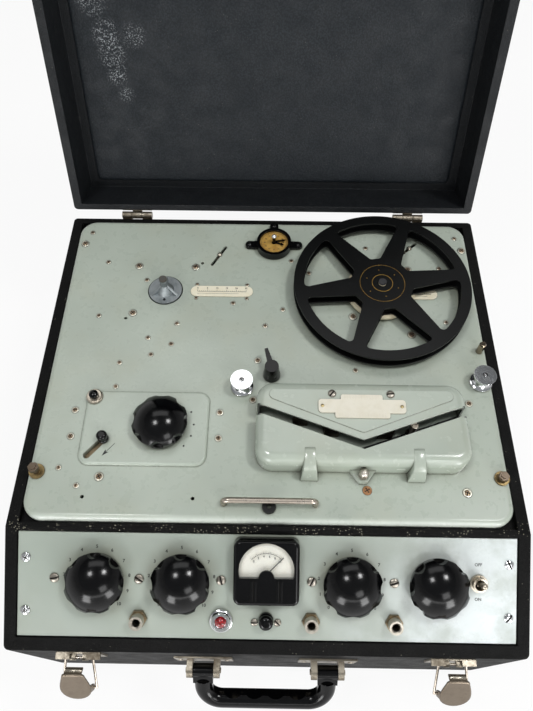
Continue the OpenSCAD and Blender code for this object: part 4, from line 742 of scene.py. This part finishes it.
def screw(shape, m, r, h, rim, body):
    """A raised head in a dished rim, with a cross pressed into it; the cross and the foot of the head
    are painted dark as shade.
    """
    verts = shape.lathe(m, [(share * r, rise * h) for share, rise in RAISED], HEAD_STEPS, body)
    sunk = [verts[row][i] for row in CROSS_ROWS for i in CROSS_POINTS] + [verts[-1][0]]
    # The rim takes its own look; the foot and the cross recess are painted dark as shade.
    for points, look in (([v for row in RIM_ROWS for v in verts[row]], rim),
                         ([v for row in FOOT_SHADE_ROWS for v in verts[row]], RECESS_SHADE), (sunk, RECESS_SHADE)):
        for v in points:
            for f in v.link_faces:
                f.material_index = look
    down = (m @ Vector((0, 0, -CROSS_DEPTH * h))) - (m @ Vector((0, 0, 0)))
    for v in sunk:
        v.co += down


def corner_of(solid):
    """Where a solid starts, from the front and then from the left, for a fixed order."""
    return round(min(v.y for v in solid), 4), round(min(v.x for v in solid), 4)


heads = Shape()
panel_back = panel(0, 0).inverted()
for number, solid in enumerate(sorted(islands("fixing_screws"), key=corner_of)):
    turn = (number * NEXT_TURN) % 180
    low = Vector(min(v[a] for v in solid) for a in range(3)) / MM
    high = Vector(max(v[a] for v in solid) for a in range(3)) / MM
    radius = (high.x - low.x) / 2
    middle = (low + high) / 2
    if middle.y > KINK_Y:
        rusty = abs(middle.x - RUSTY_SCREW[0]) < 1 and abs(middle.y - RUSTY_SCREW[1]) < 1
        place = flat(middle.x, middle.y, low.z, turn)
        if low.z > DECK_Z + GATE_RISE:
            slotted(heads, place, radius, high.z - low.z, SLOTTED)
        else:
            looks = (RUST, RUST) if rusty else (RIM, STEEL)
            screw(heads, place, radius, high.z - low.z, *looks)
        continue
    local = [panel_back @ v for v in solid]
    spot = [(min(p[a] for p in local) + max(p[a] for p in local)) / 2 for a in range(2)]
    foot, top = min(p.z for p in local), max(p.z for p in local)
    place = panel(spot[0], -spot[1], foot, turn)
    if spot[0] < -EDGE_SCREWS:
        screw(heads, place, radius, top - foot, CHROME, CHROME)
    else:
        slotted(heads, place, radius, top - foot, CHROME if spot[0] > EDGE_SCREWS else SLOTTED)
heads = heads.piece("screw_heads", "base", "screw_steel", LOOKS["screw_steel"], RECESS_SHADE_LOOK,
                    RUST_LOOK, SLOT_STEEL, RIM_LOOK, LOOKS["chrome_plate"])
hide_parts("fixing_screws")


# Printed marks: numbers, ticks, ON and OFF

KNOB_S, RING_R, FIRST_FIGURE, NEXT_FIGURE, FIGURE = 44.0, 28.0, 227, 27.4, 3.8
SWITCH_X, SWITCH_S, SWITCH_SIZE = 178.6, KNOB_S - 2.4, 3.6
DOT_TURNS, DOT_OUT, DOT_R = (27, 2, -20, -42), 29.5, 0.9
marks = Shape()
for knob in NUMBERED_KNOBS:
    place = panel(joints[knob]["pos_m"][0] / MM, KNOB_S)
    for value in range(11):
        spot = polar(RING_R, FIRST_FIGURE - NEXT_FIGURE * value)
        marks.words(place @ Matrix.Translation((*spot, INK)), str(value), FIGURE)
for text, rise in (("OFF", 15.2), ("ON", -14.0)):
    marks.words(panel(SWITCH_X, SWITCH_S) @ Matrix.Translation((0, rise, INK)), text, SWITCH_SIZE)
for turn in DOT_TURNS:
    place = flat(*FUNCTION, PLATFORM_Z, turn)
    marks.dot(place @ Matrix.Translation((DOT_OUT, 0, 0)), DOT_R, 12)
arrow = flat(START[0] + 6.0, START[1] - 9.5, PLATFORM_Z, START_TURN)
marks.line(arrow, (-7, 0), (3, 0), 0.5)
marks.plate(arrow, [(2, -2.0), (8.5, 0), (2, 2.0), (3.4, 0)], 0, INK)
marks.piece("panel_marks", "base", "bakelite", INK_LOOK)

# Each scale plate: its middle and the length of its scale; a longer tick and a number at every fifth
SCALES, SCALE_FACE, SCALE_STEP = ((-50.6, 115.3, 50.0), (151.0, 115.0, 27.0)), 0.8, 2.0
SCALE_Y, TICK_TOP, LONG_TOP, NUMBER_Y, NUMBER_SIZE = -0.6, 0.6, 1.9, 3.7, 2.6
UNDER_Y, UNDER_SHARE, SCALE_LINE, UNDER_LINE = -3.0, 0.7, 0.35, 0.25
scales = Shape()
for at_x, at_y, length in SCALES:
    place = flat(at_x, at_y, DECK_Z + SCALE_FACE)
    half = length / 2
    scales.line(place, (-half, SCALE_Y), (half, SCALE_Y), SCALE_LINE)
    count = int(length / SCALE_STEP)
    for i in range(count + 1):
        u = -half + length * i / count
        scales.line(place, (u, SCALE_Y), (u, LONG_TOP if i % 5 == 0 else TICK_TOP), SCALE_LINE)
        if i % 5 == 0:
            scales.words(place @ Matrix.Translation((u, NUMBER_Y, INK)), str(i), NUMBER_SIZE)
    scales.line(place, (-half, UNDER_Y), (half * UNDER_SHARE, UNDER_Y), UNDER_LINE)
scales.piece("scale_marks", "base", "bakelite", INK_LOOK)

# Meter: an arc about the needle's pivot with 20 parts, numbered at every fourth
PIVOT_S, DIAL_R, DIAL_FROM, DIAL_TO, DIAL_PARTS = 34.0, 17.5, 135, 45, 20
DIAL_TICK, DIAL_LONG, DIAL_NUMBER_R, DIAL_NUMBER = 0.9, 1.6, 15.2, 2.7
dial = Shape()
place = panel(0, PIVOT_S, panel_height("meter_dial") + PANEL_RECESS)
dial.arc(place, DIAL_R, 0.35, DIAL_TO, DIAL_FROM, 30)
for value in range(DIAL_PARTS + 1):
    turn = DIAL_FROM - (DIAL_FROM - DIAL_TO) / DIAL_PARTS * value
    tick = DIAL_LONG if value % 4 == 0 else DIAL_TICK
    dial.line(place, polar(DIAL_R, turn), polar(DIAL_R + tick, turn), 0.3)
    if value % 4 == 0:
        dial.words(place @ Matrix.Translation((*polar(DIAL_NUMBER_R, turn), INK)), str(value // 2),
                   DIAL_NUMBER)
dial.piece("meter_marks", "base", "bakelite", INK_LOOK)

# Position indicator: 60 parts in a ring, numbered at every fifth
CLOCK_RING, CLOCK_R, CLOCK_TICK, CLOCK_LONG = 13.9, 13.8, 12.8, 11.9
CLOCK_NUMBER_R, CLOCK_NUMBER = 9.9, 2.0
clock = Shape()
place = flat(*COUNTER, DECK_Z + COUNTER_FACE)
for i in range(60):
    inner = CLOCK_LONG if i % 5 == 0 else CLOCK_TICK
    clock.line(place, polar(inner, 6 * i), polar(CLOCK_R, 6 * i), 0.28)
clock.arc(place, CLOCK_RING, 0.25, 0, 360, 48)
for i in range(12):
    spot = polar(CLOCK_NUMBER_R, 90 - 30 * i)
    clock.words(place @ Matrix.Translation((*spot, INK)), str(i * 5), CLOCK_NUMBER)
clock.piece("counter_marks", "base", "bakelite", INK_LOOK)


# Reel hub: two gilt lines and six gilt dots between them

REEL_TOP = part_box("takeup_reel")[1].z / MM
INNER_LINE, OUTER_LINE, HUB_DOTS_R, HUB_DOT, FIRST_DOT = (10.3, 0.6), (22.5, 0.35), 16.5, 0.7, 39
ring = Shape()
place = flat(*REEL, REEL_TOP)
ring.arc(place, *INNER_LINE, 0, 360, 48)
ring.arc(place, *OUTER_LINE, 0, 360, 64)
for i in range(6):
    spot = polar(HUB_DOTS_R, FIRST_DOT + 60 * i)
    ring.dot(place @ Matrix.Translation((*spot, 0)), HUB_DOT, 10)
ring.piece("reel_ring", "right_spool", "gilt", GILT_LINE)


# Blank nameplate: fine ribs on its steps and two rivets

PLATE_Y = -25.0
PLATE_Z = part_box("nameplate")[1].z / MM
# Rows of ribs: where the first one stands, how many, and their ends
RIB_ROWS = ((-15, 13, 7.2, 10.4), (-20, 17, -10.4, -7.2))
RIB_PITCH, RIB_HALF, RIB_RISE, PLATE_RIVET_X = 2.5, 0.35, 0.25, 35.0
ribs = Shape()
place = flat(COVER_X, PLATE_Y, PLATE_Z)
for first, count, low, high in RIB_ROWS:
    for i in range(count):
        x = first + i * RIB_PITCH
        ribs.block(place, (x - RIB_HALF, low, 0), (x + RIB_HALF, high, RIB_RISE))
for x in (-PLATE_RIVET_X, PLATE_RIVET_X):
    ribs.lathe(place @ Matrix.Translation((x, 0, 0)),
               [(0, 0), (1.6, 0), (1.5, 0.35), (1.0, 0.6), (0, 0.7)], 16, 1)
ribs.piece("nameplate_ribs", "base", "blank_plate", LOOKS["blank_plate"], LOOKS["bolt_brass"])


# Fibre strip under the slot of the start lever, which slides with it

STRIP_DROP, STRIP_HALF_X, STRIP_HALF_Y, STRIP_T = 3.2, 27, 4.4, 0.5
strip = Shape()
strip.block(flat(*START, DECK_Z - STRIP_DROP, START_TURN), (-STRIP_HALF_X, -STRIP_HALF_Y, -STRIP_T),
            (STRIP_HALF_X, STRIP_HALF_Y, 0))
strip.piece("start_strip", "start_lever", "ivory", FIBRE_LOOK)


# Ribs of the head cover, which stand a little proud of its rounded edge

RIB_X, RIB_EDGE, RIB_FOOT, RIB_TAPER = 46.5, 1.0, 7.7, 2.75 / 24.0
# From the front of the cover back: place, foot and top over the deck
RIB_PROFILE = ((-8.2, 0.0, 2.2), (-5.4, 0.0, 16.6), (-4.3, 0.0, 18.8), (-1.5, 0.0, 20.9),
               (2.5, 0.0, 22.8), (7.0, 21.4, 24.0), (10.5, 21.6, 24.5), (13.5, 21.8, 24.2))


def rib_half(z):
    """Half of a rib's width at a height over the deck."""
    return RIB_FOOT - RIB_TAPER * z


proud = Shape()
for side in (-1, 1):
    rows = []
    for y, low, high in RIB_PROFILE:
        half = [(rib_half(low), low), (rib_half(high - RIB_EDGE), high - RIB_EDGE),
                (rib_half(high) - 0.3 * RIB_EDGE, high - 0.3 * RIB_EDGE),
                (rib_half(high) - RIB_EDGE, high)]
        rows.append([(x, y, z) for x, z in half] + [(-x, y, z) for x, z in reversed(half)])
    proud.solid(flat(COVER_X + side * RIB_X, COVER_FRONT, DECK_Z), rows)
proud.piece("cover_ribs", "base", "deck_enamel", COVER_LOOK)


# Latch levers: pressed plates with rounded shoulders, in place of the plain tongues

LEVER_TILT, LEVER_FACE, LEVER_T, LEVER_MIDDLE = math.radians(60.0), 8.0, 1.6, Vector((0.0, 13.0))
# Edge of the plate from its back to its face: how far it is drawn in and its height
LEVER_EDGE = ((0.0, 0.0), (0.0, 0.9), (0.5, 1.35), (1.4, LEVER_T))
TIP_Y, TIP_R, CLAW_X, CLAW_TOP, CLAW_LOW, CLAW_IN, CLAW_LAP = 10.2, 13.2, 7.3, 31.0, 2.0, 0.1, 0.2
SHOULDER = [(13.0, 14.0), (12.2, 18.5), (11.0, 23.0), (10.0, 26.5), (9.5, 28.8), (8.7, 30.3),
            (7.4, CLAW_TOP)]
BEAD_R, BEAD_X, BEAD_Y, BEAD_Z, BEAD_EDGE = 1.5, CLAW_X - 0.3, CLAW_TOP - 0.6, 4.8, 0.3
EAR_X, EAR_R, WIRE_HOLE = 11.2, 2.6, 1.15
# Outline of an ear about the wire, from the plate round the wire's back and up again
EAR = [(14.0, 8.2), (8.2, 8.2), (5.0, 8.2), (1.69, 5.0), (-0.15, 3.23), (-1.4, 2.02)]
EAR += [polar(EAR_R, turn) for turn in (155, 175, 195, 215, 235, 255, 275, 295, 310)]
EAR += [(2.9, -0.97), (4.14, 0.05), (6.6, 2.09), (10.3, 5.14)]


def shield(inset):
    """Outline of the plate, drawn in towards its middle."""
    tip = [polar(TIP_R, 180 + 15 * i) for i in range(13)]
    points = [Vector((x, TIP_Y + y)) for x, y in tip]
    points += [Vector(p) for p in SHOULDER] + [Vector((-x, y)) for x, y in reversed(SHOULDER)]
    return [tuple(p + (LEVER_MIDDLE - p).normalized() * inset) for p in points]


for side in ("left", "right"):
    pivot = Vector(joints[side + "_latch_swing"]["pos_m"]) / MM
    place = flat(*pivot) @ Matrix.Rotation(LEVER_TILT, 4, "X")
    lever = Shape()
    lever.solid(place, [[(x, y, LEVER_FACE + rise) for x, y in shield(inset)]
                        for inset, rise in LEVER_EDGE])
    lever.block(place, (-CLAW_X, CLAW_TOP - LEVER_T, CLAW_LOW),
                (CLAW_X, CLAW_TOP - CLAW_IN, LEVER_FACE + CLAW_LAP))
    bead = place @ Matrix.Translation((0.0, BEAD_Y, BEAD_Z)) @ Matrix.Rotation(math.pi / 2, 4, "Y")
    half = [(0, BEAD_X), (BEAD_R - BEAD_EDGE, BEAD_X), (BEAD_R, BEAD_X - BEAD_EDGE)]
    lever.lathe(bead, [(r, -x) for r, x in half] + half[::-1], 20, 1)
    hole = [tuple(Vector(p).normalized() * WIRE_HOLE) for p in EAR]
    for x in (-EAR_X, EAR_X):
        near, far = x - LEVER_T / 2, x + LEVER_T / 2
        corners = ((near, EAR), (far, EAR), (far, hole), (near, hole))
        rows = [[(at, y, z) for y, z in outline] for at, outline in corners]
        lever.rings(place, rows, 0, False, True)
    made = lever.piece(side + "_lever_plate", side + "_latch_lever", "aged_nickel", LEVER_LOOK,
                       LOOKS["nickel"])
    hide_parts(side + "_latch_lever")


# Rivets that hold the handle brackets

BRACKET_X, BRACKET_Z, BRACKET_T, RIVET_X, RIVET_SUNK = 56.0, 112.0, 1.6, 21.0, 0.05
rivets = Shape()
for x in (-BRACKET_X, BRACKET_X):
    for side in (-1, 1):
        rivets.lathe(front(x + side * RIVET_X, BRACKET_Z, BRACKET_T - RIVET_SUNK),
                     [(0, 0), (2.4, 0), (2.2, 0.5), (1.4, 0.95), (0, 1.15)], 16)
rivets.piece("bracket_rivets", "base", "aged_nickel", LOOKS["nickel"])


# Lid lining: a padded board with rounded corners

LINING_Z, LINING_HALF_X, LINING_HALF_Y, LINING_CORNER = 260.2, 203.5, 203.0, 6.0
# Edge of the board from its back to its face: how far it is drawn in and its height
LINING_EDGE = ((0.0, 0.0), (0.0, -0.7), (0.5, -1.2), (3.0, -1.4))
corner_x, corner_y = LINING_HALF_X - LINING_CORNER, LINING_HALF_Y - LINING_CORNER
lining = Shape()
rows = []
for inset, drop in LINING_EDGE:
    row = []
    for cx, cy, first in ((corner_x, corner_y, 0), (-corner_x, corner_y, 90),
                          (-corner_x, -corner_y, 180), (corner_x, -corner_y, 270)):
        for k in range(7):
            x, y = polar(LINING_CORNER - inset, first + 15 * k)
            row.append((cx + x, cy + y, drop))
    rows.append(row)
lining.solid(in_lid(0, 0, LINING_Z), rows)
lining.piece("lid_lining", "lid", "lid_cloth", LINING_LOOK)


# Floor, light and camera

# The floor's own light, as its share near the floor and high up the backdrop, and those heights
GLOW_LOW, GLOW_HIGH, GLOW_FROM, GLOW_TO = 0.91, 0.30, 0.1, 3.2
FLOOR_Z, FLOOR_R, COVE_R, COVE_STEPS, WALL_TOP = -0.5, 4500, 1500, 12, 4500


def floor_look():
    """Pale matt floor that shows white to the camera, in reflections and through glass."""
    k = Look("floor_look")
    k.tree.nodes.remove(k.bsdf)
    out = k.tree.nodes["Material Output"]
    matt = k.node("BsdfDiffuse")
    matt.inputs["Color"].default_value = rgb(236, 236, 234)
    glow = k.node("Emission")
    glow.inputs["Color"].default_value = (1.0, 1.0, 1.0, 1.0)
    path = k.node("LightPath")
    seen = k.calc("MAXIMUM", path.outputs["Is Camera Ray"],
                  k.calc("MAXIMUM", path.outputs["Is Glossy Ray"], path.outputs["Is Transmission Ray"]))
    blend = k.node("MixShader")
    share = k.ease(k.part("Z"), GLOW_FROM, GLOW_TO, GLOW_LOW, GLOW_HIGH)
    k.feed(blend.inputs[0], k.calc("MULTIPLY", seen, share))
    k.feed(blend.inputs[1], matt.outputs[0])
    k.feed(blend.inputs[2], glow.outputs[0])
    k.feed(out.inputs["Surface"], blend.outputs[0])
    return k.mat


stage = Shape()
profile = [(0, FLOOR_Z), (FLOOR_R, FLOOR_Z)]
for k in range(1, COVE_STEPS + 1):
    t = math.radians(90 * k / COVE_STEPS)
    profile.append((FLOOR_R + COVE_R * math.sin(t), FLOOR_Z + COVE_R * (1 - math.cos(t))))
profile.append((FLOOR_R + COVE_R, WALL_TOP))
stage.lathe(Matrix.Scale(MM, 4), profile, 96)
mesh = bpy.data.meshes.new("studio_floor")
stage.bm.to_mesh(mesh)
stage.bm.free()
mesh.materials.append(floor_look())
studio = bpy.data.objects.new("studio_floor", mesh)
bpy.context.scene.collection.objects.link(studio)


def lamp(name, at, aim, size, power):
    """Rectangular lamp that the camera does not see."""
    light = bpy.data.lights.new(name, "AREA")
    light.shape = "RECTANGLE"
    light.size, light.size_y = size
    light.energy = power
    made = bpy.data.objects.new(name, light)
    made.location = at
    made.visible_camera = False
    made.rotation_euler = (Vector(aim) - Vector(at)).to_track_quat("-Z", "Y").to_euler()
    bpy.context.scene.collection.objects.link(made)


lamp("ceiling_soft", (-0.10, 1.05, 2.3), (0.0, 0.35, 0.2), (2.0, 0.70), 8.5)
lamp("ceiling_right", (0.90, 0.05, 2.1), (0.0, 0.0, 0.2), (0.36, 0.36), 15.0)
lamp("ceiling_left", (-0.60, -0.22, 2.1), (0.0, 0.0, 0.2), (0.36, 0.36), 9.5)
lamp("window_left", (-0.62, -1.45, 0.36), (0.0, -0.1, 0.2), (0.44, 0.55), 6.5)
lamp("window_right", (0.85, -1.40, 0.36), (0.0, -0.1, 0.2), (0.48, 0.60), 8.5)
lamp("front_strip", (0.05, -1.60, 0.66), (0.0, -0.1, 0.2), (2.0, 0.16), 3.0)
lamp("panel_sheen", (0.67, -1.37, 1.19), (0.12, -0.15, 0.2), (0.60, 0.50), 4.2)

# Sky: a little brighter in front of the object than behind it
world = bpy.data.worlds.new("studio")
world.use_nodes = True
sky = world.node_tree.nodes["Background"]
sky.inputs["Color"].default_value = (0.95, 0.98, 1.0, 1.0)
toward = world.node_tree.nodes.new("ShaderNodeTexCoord")
axes = world.node_tree.nodes.new("ShaderNodeSeparateXYZ")
fade = world.node_tree.nodes.new("ShaderNodeMapRange")
for key, number in (("From Min", -0.35), ("From Max", 0.50),
                    ("To Min", 0.32), ("To Max", 0.14)):
    fade.inputs[key].default_value = number
world.node_tree.links.new(toward.outputs["Generated"], axes.inputs[0])
world.node_tree.links.new(axes.outputs["Y"], fade.inputs["Value"])
world.node_tree.links.new(fade.outputs["Result"], sky.inputs["Strength"])
scene = bpy.context.scene
scene.world = world
scene.view_settings.view_transform = "Standard"

# Camera, fitted to the edges of the case, the deck and the panel; turns in degrees
CAMERA_AT, CAMERA_TURNS = (0.00203, -0.25865, 0.73828), ((1.02, "Z"), (29.86, "X"), (-0.09, "Z"))
camera = bpy.data.cameras.new("camera")
camera.lens = 31.29
camera.sensor_width = 36.0
camera.clip_start = 0.01
view = bpy.data.objects.new("camera", camera)
place = Matrix.Translation(CAMERA_AT)
for turn, axis in CAMERA_TURNS:
    place = place @ Matrix.Rotation(math.radians(turn), 4, axis)
view.matrix_world = place
scene.collection.objects.link(view)
scene.camera = view
